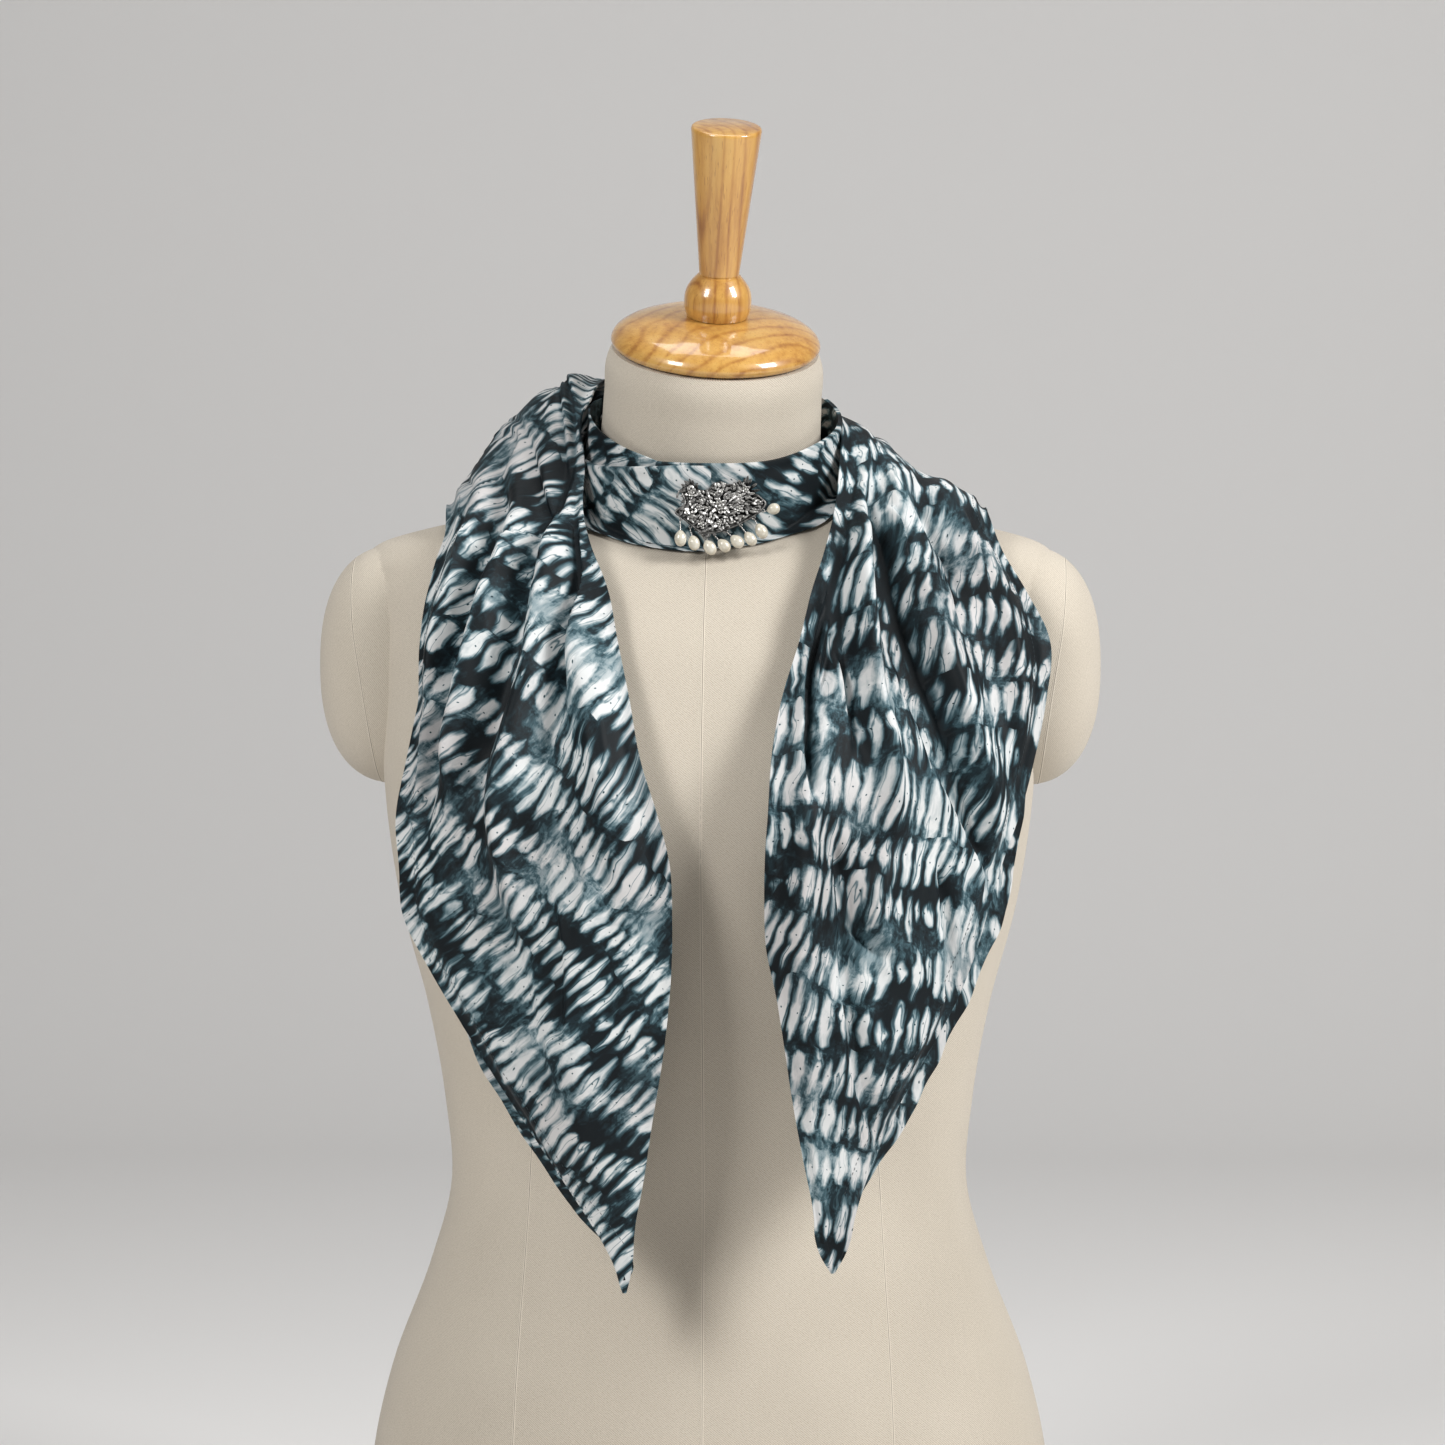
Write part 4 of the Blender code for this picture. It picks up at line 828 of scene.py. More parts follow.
class Cotton(Finish):
    """Tie-dyed cotton, drawn on a cloth's own dye map in metres: x along a petal, y across it."""

    def shifted(self, place, scale, detail, reach, seed):
        """The place, moved about smoothly by up to half the reach."""
        wander = self.noise(self.moved(place, (seed, seed * 0.7, 0)), scale, detail, output=1)
        return self.node(
            "ShaderNodeVectorMath", {"operation": "MULTIPLY_ADD"},
            {0: self.moved(wander, (-0.5, -0.5, -0.5)), 1: reach, 2: place},
        )

    def petals(self, dye, row, pitch):
        """White petals in rows between tight stitches: their white, their pricks and the moved place."""
        place = self.shifted(dye, 9.0, 1.0, (0.040, 0.026, 0), 0.37)
        place = self.shifted(place, 42.0, 2.0, (0.024, 0.0074, 0), 1.91)
        place = self.shifted(place, 220.0, 2.0, (0.0022, 0.0006, 0), 2.63)
        along, across, _ = self.parts(place)
        rows = along / row
        number = rows.math("FLOOR")
        column = across / pitch + number * 17.37
        close = self.node(
            "ShaderNodeTexVoronoi", {"voronoi_dimensions": "1D", "feature": "F1"},
            {"W": column, "Scale": 1.0, "Randomness": 0.72},
        )
        apart = self.node(
            "ShaderNodeTexVoronoi", {"voronoi_dimensions": "1D", "feature": "DISTANCE_TO_EDGE"},
            {"W": column, "Scale": 1.0, "Randomness": 0.72},
        )
        chance = self.node("ShaderNodeSeparateColor", None, {0: close.of("Color")})
        red, green, blue = chance, chance.of(1), chance.of(2)
        t = abs(rows - number - 0.5 + (blue - 0.5) * 0.20)
        streak = self.noise(self.scaled(place, (70.0, 800.0, 1.0)), 1.0, 3.0, 0.6) - 0.5
        blotch = self.noise(self.scaled(place, (34.0, 22.0, 1.0)), 1.0, 2.0) - 0.5
        reach = red * 0.22 + 0.385 - (blotch * 1.6 + green * 0.34 - 0.16).math("MAXIMUM", -0.10)
        tip = t / reach.math("MAXIMUM", 0.02)
        wedge = tip ** 2.0 * 0.32 + 0.012 + streak * (t * 1.0 + 0.06)
        soft = t * 0.62 + 0.24
        leaf = ((apart - wedge) / soft).math("MAXIMUM", 0.0).math("MINIMUM", 1.0) ** 0.8
        leaf = leaf * reach.smooth(0.05, 0.30)
        crossing = (0.5 - t + streak * 0.06).smooth(0.0, 0.09) * 0.75 + 0.25
        thin = self.noise(self.scaled(place, (22.0, 150.0, 1.0)), 1.0, 2.0) - 0.5
        vein = abs(thin).smooth(0.0, 0.03) * 0.5 + 0.5
        leaf = leaf * crossing * vein * (blue * 0.16 + 0.86)
        offset = column - close.of("W")
        prick = ((t * (row / MM)) ** 2.0 + (offset * (pitch / MM)) ** 2.0) ** 0.5
        return leaf, prick.smooth(0.20, 0.52), place


def dyed_cotton(name):
    cotton = Cotton(name, {
        "Roughness": 0.66, "Sheen Weight": 0.03, "Sheen Roughness": 0.4, "Specular IOR Level": 0.18
    })
    dye = cotton.mapped("dye")
    leaf, prick, place = cotton.petals(dye, PETAL_ROW, PETAL_PITCH)
    streaks = cotton.noise(cotton.scaled(place, (110.0, 330.0, 1.0)), 1.0, 4.0, 0.62)
    cloud = cotton.noise(place, 85.0, 3.0, 0.6)
    patch = cotton.noise(place, 26.0, 1.0)
    net = cotton.noise(cotton.scaled(place, (330.0, 330.0, 1.0)), 1.0, 2.0, 0.7)
    seep = (streaks * 0.7 + cloud * 0.9 + net * 0.6 + patch * 2.0 - 1.98).math("MAXIMUM", 0.0) * 1.1
    body = cotton.noise(cotton.scaled(place, (200.0, 420.0, 1.0)), 1.0, 3.0, 0.6)
    strength = leaf + (1.0 - leaf) * seep.math("MINIMUM", 0.62)
    strength = strength * (body * 0.5 + streaks * 0.4 + 0.62) * (prick * 0.7 + 0.3)
    # Painted shade: the colour is darkened along the scarf's deep creases, read from its "crease" attribute
    crease = cotton.node("ShaderNodeAttribute", {"attribute_name": "crease"}, None, "Fac")
    strength = strength * (1.0 - crease.smooth(0.1, 0.9) * 0.96)
    stops = (
        (0.0, (0.0034, 0.0068, 0.0090)), (0.24, (0.011, 0.025, 0.032)), (0.44, (0.052, 0.104, 0.125)),
        (0.62, (0.19, 0.262, 0.286)), (0.82, (0.44, 0.485, 0.495)), (1.0, (0.65, 0.665, 0.66)),
    )
    colour = cotton.ramp(strength, stops)
    age = cotton.noise(place, 12.0, 2.0)
    warm = cotton.node(
        "ShaderNodeMix", {"data_type": "RGBA", "blend_type": "MULTIPLY"},
        {0: age.smooth(0.42, 0.62), 6: colour, 7: (0.83, 0.79, 0.785, 1.0)}, 2,
    )
    cotton.feed("Base Color", warm)
    cotton.feed("Roughness", strength * 0.16 + 0.58)
    u, v, _ = cotton.parts(dye)
    warp = (u * (2 * math.pi / 0.00052)).math("SINE") + (v * (2 * math.pi / 0.00058)).math("SINE")
    crumple = cotton.noise(cotton.scaled(place, (70.0, 190.0, 1.0)), 1.0, 4.0, 0.55)
    cotton.bump(warp * 0.03 + crumple, 0.55 * MM, 0.5)
    return cotton.material


cotton = dyed_cotton("tie_dyed_cotton")


def clear_of(surface, points, gap):
    """The same points, moved out of the surface where they are nearer than the gap."""
    moved = points.copy()
    for index in np.ndindex(points.shape[:-1]):
        place = Vector(points[index])
        nearest, normal, _, _ = surface.find_nearest(place)
        away = place - nearest
        if away.dot(normal) < 0:
            moved[index] = nearest + normal * gap
        elif away.length < gap:
            moved[index] = nearest + (away.normalized() or normal) * gap
    return moved


def grid_normals(points):
    """The outward directions of a grid of cloth, evened out a little."""
    along = np.gradient(points, axis=0)
    across = np.gradient(points, axis=1)
    normal = np.cross(along, across)
    normal /= np.linalg.norm(normal, axis=-1, keepdims=True) + 1e-12
    for _ in range(2):
        padded = np.pad(normal, ((1, 1), (1, 1), (0, 0)), mode="edge")
        normal = (
            padded[:-2, 1:-1] + padded[2:, 1:-1] + padded[1:-1, :-2] + padded[1:-1, 2:]
            + 2 * normal
        ) / 6
        normal /= np.linalg.norm(normal, axis=-1, keepdims=True) + 1e-12
    return normal


def tail_edges(table):
    """The tail's inner and outer edge and crown, in the row frame, for each row of its table."""
    t = np.array(table, float) * MM
    inner = seen_at(t[:, 1], t[:, 0], t[:, 3])
    outer = seen_at(t[:, 2], t[:, 0], t[:, 4])
    crown = np.stack([0 * t[:, 5], t[:, 5], 0 * t[:, 5]], axis=-1)
    return np.concatenate([inner, outer, crown], axis=-1)


def back_edges():
    t = np.array(BACK, float) * MM
    out, up = t[:, 6], t[:, 7]
    crown = np.stack([0 * out, out, up], axis=-1)
    return np.concatenate([t[:, :6], crown], axis=-1)


def scarf_edges():
    """Edge rows of the whole cloth, from the tip at the wearer's right to the tip at the left."""
    rows = np.concatenate([tail_edges(RIGHT_HAND_TAIL), back_edges(), tail_edges(LEFT_HAND_TAIL)[::-1]])
    middle = (rows[:, :3] + rows[:, 3:6]) / 2
    run = summed(gaps(middle))
    first, last = len(RIGHT_HAND_TAIL), len(RIGHT_HAND_TAIL) + len(BACK) - 1
    return np.column_stack([run, rows]), run[first], run[last]


def scarf_base(surface, stations, columns):
    """The cloth with no folds: straight across between its edges, crowned, and laid on the form."""
    rows = through(scarf_edges()[0], stations)
    u = np.linspace(0, 1, columns)[None, :, None]
    inner, outer, crown = (rows[:, None, k : k + 3] for k in (0, 3, 6))
    points = clear_of(surface, inner + (outer - inner) * u + crown * 4 * u * (1 - u), BODY_CLEARANCE)
    for _ in range(6):
        mean = points.copy()
        mean[1:-1, 1:-1] = (
            points[:-2, 1:-1] + points[2:, 1:-1] + points[1:-1, :-2] + points[1:-1, 2:]
        ) / 4
        points = clear_of(surface, points + (mean - points) * 0.5, BODY_CLEARANCE)
    return points


def fold_lines():
    """Each fold: its lift, inner and outer reach, and its line as stations and shares across."""
    run = scarf_edges()[0][:, 0]
    tail, back_rows = len(RIGHT_HAND_TAIL), len(BACK)
    lines = []
    for folds, rows, runs, back in (
        (RIGHT_HAND_FOLDS, RIGHT_HAND_TAIL, run[:tail], run[tail : tail + back_rows]),
        (
            LEFT_HAND_FOLDS, LEFT_HAND_TAIL,
            run[: tail + back_rows - 1 : -1], run[tail : tail + back_rows][::-1],
        ),
    ):
        heights, inner, outer = np.array(rows, float)[:, :3].T
        for lift, inner_reach, outer_reach, shares, path in folds:
            x, z = np.array(path, float).T
            edge, width = np.interp(z, heights, inner), np.interp(z, heights, outer - inner)
            line = list(zip(np.interp(z, heights, runs), (x - edge) / width))
            line = list(zip(back[: len(shares)], shares))[::-1] + line
            lines.append((lift * MM, inner_reach * MM, outer_reach * MM, sorted(line)))
    for lift, inner_reach, outer_reach, path in BACK_FOLDS:
        line = [(np.interp(row + tail, range(len(run)), run), share) for row, share in path]
        lines.append((lift * MM, inner_reach * MM, outer_reach * MM, line))
    return lines


def crease_lines(creases, first, last):
    """The same for creases, from where each of their points is seen on the cloth between two stations."""
    rows = np.where((stations >= first) & (stations <= last))[0]
    seen = as_seen(base[rows]) * 1000
    lines = []
    for lift, inner_reach, outer_reach, lips, path in creases:
        line = []
        for point in path:
            nearest = np.argmin(np.linalg.norm(seen - point, axis=-1))
            row, column = np.unravel_index(nearest, seen.shape[:2])
            line.append((stations[rows[row]], u[0, column]))
        line = sorted(line)
        line = [line[0]] + [b for a, b in zip(line, line[1:]) if b[0] - a[0] > 1e-4]
        lines.append((lift * MM, inner_reach * MM, outer_reach * MM, line))
        for lip in lips:
            side = math.copysign(1, lip)
            beside = [
                (at, share - side * LIP_OFFSET / np.interp(at, stations, width[:, 0])) for at, share in line
            ]
            reaches = (LIP_FAR, LIP_NEAR) if lip > 0 else (LIP_NEAR, LIP_FAR)
            lines.append((abs(lip) * MM, *reaches, beside))
    return lines


def folded(lines, stations, u, width, sharpness):
    """The height of these folds over a grid of cloth."""
    lift = np.zeros((len(stations), u.shape[1]))
    for height, inner_reach, outer_reach, line in lines:
        first, last = line[0][0], line[-1][0]
        across = (u - through(line, stations)) * width
        reach = np.where(across > 0, outer_reach, inner_reach)
        steep = SLOT_SHARPNESS if height < -SLOT_DEPTH and sharpness < FOLD_SHARPNESS else sharpness
        end = np.minimum(0.045, (last - first) * 0.35)
        taper = ease(first - 0.3 * end, first + end, stations)
        taper = taper * (1 - ease(last - end, last + 0.3 * end, stations))
        lift += height * taper[:, None] * np.exp(-(np.abs(across / reach) ** steep))
    return lift


def rippled(seed, count, lengths, amounts, x, y):
    """A smooth random height field of many long waves, the same each time for one seed."""
    random = np.random.default_rng(seed)
    total = np.zeros(np.broadcast(x, y).shape)
    for _ in range(count):
        length = random.uniform(*lengths)
        turn = random.uniform(*amounts)
        phase = random.uniform(0, 2 * math.pi)
        total += np.sin(2 * math.pi * (x * math.cos(turn) + y * math.sin(turn)) / length + phase)
    return total / math.sqrt(count)


def finer(grid, rows_at, columns_at):
    """A grid read along smooth curves at finer rows and columns, both given from 0 to 1."""
    rows = np.linspace(0, 1, grid.shape[0])
    flat = through(np.column_stack([rows, grid.reshape(len(rows), -1)]), rows_at)
    grid = flat.reshape(len(rows_at), grid.shape[1], -1).transpose(1, 0, 2)
    columns = np.linspace(0, 1, grid.shape[0])
    flat = through(np.column_stack([columns, grid.reshape(len(columns), -1)]), columns_at)
    return flat.reshape(len(columns_at), len(rows_at), -1).transpose(1, 0, 2)


def shell(name, outer, inner, dye, material):
    """A closed cloth shell of two grids, with its dye map as its UV map."""
    rows, columns = outer.shape[:2]
    count = rows * columns
    points = np.concatenate([outer.reshape(-1, 3), inner.reshape(-1, 3)])
    number = np.arange(count).reshape(rows, columns)
    a, b, c, d = number[:-1, :-1], number[:-1, 1:], number[1:, 1:], number[1:, :-1]
    front = np.stack([a, b, c, d], axis=-1).reshape(-1, 4)
    back = front[:, ::-1] + count
    rim = np.concatenate([
        number[0, ::-1], number[1:, 0], number[-1, 1:], number[-2:0:-1, -1]
    ])
    turned = np.roll(rim, -1)
    edge = np.stack([rim, turned, turned + count, rim + count], axis=-1)
    faces = np.concatenate([front, back, edge])
    mapped = np.concatenate([dye.reshape(-1, 2)] * 2)
    made = piece_from(name, points, faces.tolist(), [material], mapped[faces.ravel()], 60, "dye")
    face_outward(made)
    return made


cloth_collar = ringed("collar_helper", turned_rings(COLLAR, 96), canvas)
laying = surface_of(form, cloth_collar)
bpy.data.objects.remove(cloth_collar, do_unlink=True)
edges, right_crest, left_crest = scarf_edges()
end = edges[-1, 0]
coarse = scarf_base(laying, np.linspace(0, end, 140), 29)
coarse_normal = grid_normals(coarse)
TAIL_STEPS, BACK_STEPS, COLUMNS = 172, 90, 112
stations = np.concatenate([
    np.linspace(0, right_crest, TAIL_STEPS, endpoint=False),
    np.linspace(right_crest, left_crest, BACK_STEPS, endpoint=False),
    np.linspace(left_crest, end, TAIL_STEPS),
])
u = np.linspace(0, 1, COLUMNS)[None, :]
base = finer(coarse, stations / end, u[0])
normal = finer(coarse_normal, stations / end, u[0])
normal /= np.linalg.norm(normal, axis=-1, keepdims=True)
width = np.linalg.norm(np.diff(base, axis=1), axis=-1).sum(axis=1)[:, None]
over = sum(np.exp(-(((stations - crest) / 0.06) ** 2)) for crest in (right_crest + 0.02, left_crest - 0.02))
lift = folded(fold_lines(), stations, u, width, FOLD_SHARPNESS) * (1 - SHOULDER_EASE * over)[:, None]
creases = crease_lines(RIGHT_HAND_CREASES, 0, right_crest + 0.12)
creases += crease_lines(LEFT_HAND_CREASES, left_crest - 0.01, end)
lift += folded(creases, stations, u, width, CREASE_SHARPNESS) * (1 - CREASE_EASE * over)[:, None]
puff = PUFF * np.clip(width / 0.09, 0, 1) * ease(0, 0.16, u) * (1 - ease(0.86, 1, u))
along = stations[:, None] + 0 * u
across = u * width
ripple = rippled(3, 14, (0.016, 0.05), (-0.25, 0.25), across, along * 0.35)
ripple += 0.5 * rippled(4, 14, (0.008, 0.02), (-0.5, 0.5), across, along * 0.5)
calm = ease(0.0, 0.10, u) * (1 - ease(0.90, 1, u)) * 0.85 + 0.15
lift = (lift + puff) * (0.2 + 0.8 * ease(0, 0.15, u) * (1 - ease(0.9, 1, u)))
lift = lift + RIPPLE * ripple * calm
from_outer = (1 - u) * width
hem_step = HEM_RISE * (1 - ease(HEM - 0.6 * MM, HEM + 0.6 * MM, from_outer))
pucker = rippled(5, 10, (0.007, 0.014), (1.3, 1.8), across, along)
hem_zone = np.exp(-(((from_outer - HEM) / (4 * MM)) ** 2))
lift = lift + hem_step + PUCKER * pucker * hem_zone
lift = np.sqrt(np.clip(lift, 0, None) ** 2 + LEAST_LIFT**2)
# Folds lean towards the tail's outer edge, so that each one's far side lies in its own shade
sideways = np.gradient(base, axis=1)
sideways /= np.linalg.norm(sideways, axis=-1, keepdims=True)
front = 1 - ease(right_crest - 0.06, right_crest + 0.02, stations)
front += ease(left_crest - 0.02, left_crest + 0.06, stations)
lean = FOLD_LEAN * front[:, None] * ease(0.04, 0.2, u) * (1 - ease(0.68, 0.95, u))
leaning = normal + sideways * lean[..., None]
outer = base + leaning * (lift + CLOTH_THICKNESS)[..., None]
inner = base + leaning * lift[..., None]

# Dye map: the cloth unrolled flat, in metres, and turned so that its first axis follows the petals
RIGHT_HAND_SLANTS = ((0.05, 42), (0.35, 44), (0.55, 52), (0.72, 64), (0.86, 68), (1.0, 60))
LEFT_HAND_SLANTS = ((0, 66), (0.12, 70), (0.3, 75), (0.5, 79), (0.75, 82), (0.95, 82))
FOLD_SHARE = 0.35


def unit(vectors):
    return vectors / np.linalg.norm(vectors, axis=-1, keepdims=True)


row = unit(base[:, -1] - base[:, 0])
facing = normal.mean(axis=1)
facing = unit(facing - (facing * row).sum(axis=1)[:, None] * row)
ahead = np.cross(facing, row)
turned = np.arctan2((row[1:] * ahead[:-1]).sum(axis=1), (row[1:] * row[:-1]).sum(axis=1))
heading = np.concatenate([[0], np.cumsum(turned)])
slants = [(right_crest * at, slant) for at, slant in RIGHT_HAND_SLANTS]
slants += [(left_crest + (end - left_crest) * at, slant) for at, slant in LEFT_HAND_SLANTS]
offsets = []
for at, slant in slants:
    k = np.argmin(abs(stations - at))
    offset = math.atan2(row[k, 2], row[k, 0]) - heading[k] - math.radians(slant)
    before = offsets[-1] if offsets else offset
    offsets.append(before + math.remainder(offset - before, math.pi))
heading = heading + through(np.column_stack([[at for at, _ in slants], offsets]), stations).ravel()
step = np.diff(base.mean(axis=1), axis=0)
sidestep, forward = (step * row[:-1]).sum(axis=1), (step * ahead[:-1]).sum(axis=1)
cosine, sine = np.cos(heading), np.sin(heading)
path = np.stack([
    sidestep * cosine[:-1] - forward * sine[:-1], sidestep * sine[:-1] + forward * cosine[:-1]
], axis=1)
path = np.concatenate([[[0, 0]], np.cumsum(path, axis=0)])
spread = np.linalg.norm(np.diff(outer, axis=1), axis=-1)
spread = np.concatenate([np.zeros((len(stations), 1)), np.cumsum(spread, axis=1)], axis=1)
spread = spread * FOLD_SHARE + u * width * (1 - FOLD_SHARE)
spread = spread - spread.mean(axis=1)[:, None]
dye = path[:, None] + spread[..., None] * np.stack([cosine, sine], axis=1)[:, None]

scarf = shell("scarf_cloth", outer, inner, dye, cotton)
# Painted shade along the deep creases, kept on the scarf's points as its "crease" attribute for the cotton to
# darken
shade = folded(
    [(min(1.0, -lift_there / PAINTED_SHADE_FULL_DEPTH), PAINTED_SHADE_REACH, PAINTED_SHADE_REACH, line)
     for lift_there, _, _, line in creases if lift_there < 0], stations, u, width, FOLD_SHARPNESS,
)
shade = np.clip(shade, 0, 1)
painted_crease_shade = scarf.data.attributes.new("crease", "FLOAT", "POINT")
painted_crease_shade.data.foreach_set("value", np.concatenate([shade.ravel()] * 2))
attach(scarf, ROOT)
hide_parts("right_tail", "back_drape", "left_tail")

# Under layers of the tails
# The scarf is cut double and turned, so that the second layer's edge shows past the first one's at
# each tail's lower outer side. It is the same cotton, a little shaded by the layer in front.
PLY_GAP = 1.0 * MM
UNDER_CLEARANCE = 1.2 * MM
# How much the layer stands past the tail's outer edge, in mm: height, past
RIGHT_HAND_PAST = (
    (200, 0), (212, 2.5), (227, 4.5), (243, 7), (275, 8.5), (300, 7), (322, 5.8), (340, 1), (365, -4),
    (620, -8),
)
LEFT_HAND_PAST = (
    (210, 0), (251, 1.6), (266, 7), (284, 12), (300, 13), (315, 11), (346, 8), (372, 8), (398, 12),
    (438, 7), (460, 2), (490, -4), (620, -8),
)


def rows_at(grid, at):
    """The rows of a grid of cloth at other stations, straight between its own."""
    i = np.clip(np.searchsorted(stations, at) - 1, 0, len(stations) - 2)
    part = np.clip((at - stations[i]) / (stations[i + 1] - stations[i]), 0, 1)[:, None, None]
    return grid[i] * (1 - part) + grid[i + 1] * part


for name, first, last, past_table, seed in (
    ("right_tail_under_layer", 0.004, right_crest - 0.075, RIGHT_HAND_PAST, 6),
    ("left_tail_under_layer", left_crest + 0.075, end - 0.004, LEFT_HAND_PAST, 7),
):
    at = np.linspace(first, last, 170)
    rows, facing = rows_at(base, at), rows_at(normal, at)
    past = through(np.array(past_table) * MM, as_seen(rows[:, -1])[:, 1])[:, 0]
    wide = np.linalg.norm(rows[:, -1] - rows[:, 0], axis=-1)
    reach = 1 + past / np.maximum(wide, 0.012)
    share = np.linspace(0.03, 1, 46)[None, :] * reach[:, None]
    i = np.clip((share * (COLUMNS - 1)).astype(int), 0, COLUMNS - 2)
    part = (share * (COLUMNS - 1) - i)[..., None]
    line = np.arange(len(at))[:, None]
    laid = rows[line, i] * (1 - part) + rows[line, i + 1] * part
    facing = facing[line, i]
    ripple = rippled(seed, 10, (0.02, 0.05), (1.2, 1.9), share * wide[:, None], at[:, None])
    beyond = ease(0.0, 4 * MM, (share - 1) * wide[:, None])
    laid = laid - facing * (PLY_GAP + beyond * 0.5 * MM * (1 + ripple))[..., None]
    back = clear_of(laying, laid - facing * CLOTH_THICKNESS, UNDER_CLEARANCE)
    front = back + facing * CLOTH_THICKNESS
    row_heading = np.interp(at, stations, heading) + math.radians(18)
    middle = np.stack([np.interp(at, stations, path[:, k]) for k in (0, 1)], axis=1) + 0.013 * seed
    aside = np.stack([np.cos(row_heading), np.sin(row_heading)], axis=1)
    under_dye = middle[:, None] + ((share - 0.5) * wide[:, None])[..., None] * aside[:, None]
    cloth = shell(name + "_cloth", front, back, under_dye, cotton)
    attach(cloth, ROOT)
    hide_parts(name)

# Hem stitching
# Each hem is turned in once and held by a running stitch in dark thread, close to its fold.
STITCH_PITCH = 2.6 * MM
STITCH_LENGTH = 1.7 * MM
STITCH_RADIUS = 0.16 * MM
thread = Finish("stitching_thread", {"Roughness": 0.7, "Base Color": (0.030, 0.045, 0.052, 1.0)})
ply_twist = thread.noise(thread.place(), 2500.0, 1.0)
thread.bump(ply_twist, 0.1 * MM)
hem_lines, hem_ups = [], []
for first, last in ((0.02, right_crest - 0.02), (left_crest + 0.02, end - 0.02)):
    inside = np.where((stations > first) & (stations < last))[0]
    line, up = [], []
    for row in inside:
        share = 1 - HEM / width[row, 0]
        if share < 0.25:
            continue
        place = [np.interp(share, u[0], outer[row, :, k]) for k in range(3)]
        line.append(np.array(place) + normal[row, -8] * 0.1 * MM)
        up.append(normal[row, -8])
    fine_line = spaced(line, 1.0 * MM)
    hem_lines.append(fine_line)
    last_up, last_point = len(up) - 1, len(fine_line) - 1
    hem_ups.append([np.array(up[int(i * last_up / last_point)]) for i in range(last_point + 1)])
stitches = path_object("hem_stitches", hem_lines, hem_ups)
graph, entry, sizes = geometry_graph("running_stitch", ("Pitch", "Length", "Radius"))
route = routed(graph, entry)
spots = graph.node("GeometryNodeCurveToPoints", {"mode": "LENGTH"}, {"Curve": route, "Length": sizes["Pitch"]})
bead = graph.node("GeometryNodeMeshUVSphere", None, {"Segments": 6, "Rings": 5, "Radius": 0.5})
thick = sizes["Radius"] * 2.0
long_bead = graph.node("ShaderNodeCombineXYZ", None, {0: thick, 1: thick, 2: sizes["Length"]})
stitch = graph.node("GeometryNodeInstanceOnPoints", None, {
    "Points": spots, "Instance": bead, "Rotation": spots.of("Rotation"), "Scale": long_bead
})
stitches = grown(stitches, graph, stitch, thread.material, {
    "Pitch": STITCH_PITCH, "Length": STITCH_LENGTH, "Radius": STITCH_RADIUS
})
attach(stitches, ROOT)

# Neckband
# A doubled strip of the same cotton, folded over at the top and lapped in front under the brooch.
# Its crosswise wrinkles come from being drawn tight round the neck.
BAND = (
    (-22, -44, -97, 0.0), (0, -42, -96.5, 0.0), (30, -41, -95, 0.0), (60, -37, -92, 0.2),
    (90, -35, -88, 0.6), (180, -34, -82, 1.0), (270, -56, -104, 1.6), (300, -55.5, -104, 2.2),
    (330, -48, -100, 2.6), (350, -43.5, -97.4, 2.6), (363, -42.4, -97, 2.6),
)
BAND_TOP_RADII = (0.0665, 0.0622)
BAND_FOOT_RADII = (0.0715, 0.0685)
BAND_THICKNESS = 1.6 * MM
BAND_CLEARANCE = 1.5 * MM
BAND_PETAL_TURN = 35
# Inner ply above the band, at the wearer's right: angle, top, foot, share of the way from neck to band
INNER_PLY = (
    (-112, -38, -60), (-95, -36.5, -62), (-70, -38, -62), (-45, -41.5, -60), (-26, -44, -60),
    (-10, -48, -60),
)
PLY_THICKNESS = 1.0 * MM
PLY_PETAL_TURN = -30


def band_point(angle, height, step):
    """A point of the band's middle surface, in the neck's own frame, in metres."""
    share = np.clip((height * MM + 0.0925) / 0.0485, 0, 1)
    half_x = BAND_FOOT_RADII[0] + (BAND_TOP_RADII[0] - BAND_FOOT_RADII[0]) * share + step * MM
    half_y = BAND_FOOT_RADII[1] + (BAND_TOP_RADII[1] - BAND_FOOT_RADII[1]) * share + step * MM
    turn = np.radians(angle)
    return np.stack([half_x * np.sin(turn), -half_y * np.cos(turn), height * MM], axis=-1)


def ply_outward(angle):
    turn = np.radians(angle)
    local = np.stack([np.sin(turn), -np.cos(turn), 0 * turn], axis=-1)
    return in_neck_frame(local) - in_neck_frame(0 * local)


def around_neck(name, table, rows_count, columns_count, thickness, extra, petal_turn, gap):
    """A strip round the neck, its wrinkles given as a height over angle and part of the way down."""
    angles = np.linspace(table[0][0], table[-1][0], rows_count)
    rows = through(table, angles)
    angle, part = np.meshgrid(angles, np.linspace(0, 1, columns_count), indexing="ij")
    height = rows[:, 1:2] + (rows[:, 0:1] - rows[:, 1:2]) * part
    step, wrinkle = extra(rows, angle, part)
    middle = in_neck_frame(band_point(angle, height, step))
    outward = ply_outward(angle)
    if gap:
        middle = clear_of(surface_of(form), middle, gap)
    outer = middle + outward * (thickness / 2 + wrinkle)[..., None]
    inner = middle - outward * thickness / 2
    across = summed(gaps(outer).mean(axis=1))[:, None] + 0 * part
    up = summed(gaps(outer, 1).mean(axis=0))[None, :] + 0 * part
    lean = math.radians(petal_turn)
    dye = np.stack([
        up * np.sin(lean) - across * np.cos(lean) + 2.0, up * np.cos(lean) + across * np.sin(lean) + 1.3
    ], axis=-1)
    return shell(name, outer, inner, dye, cotton)


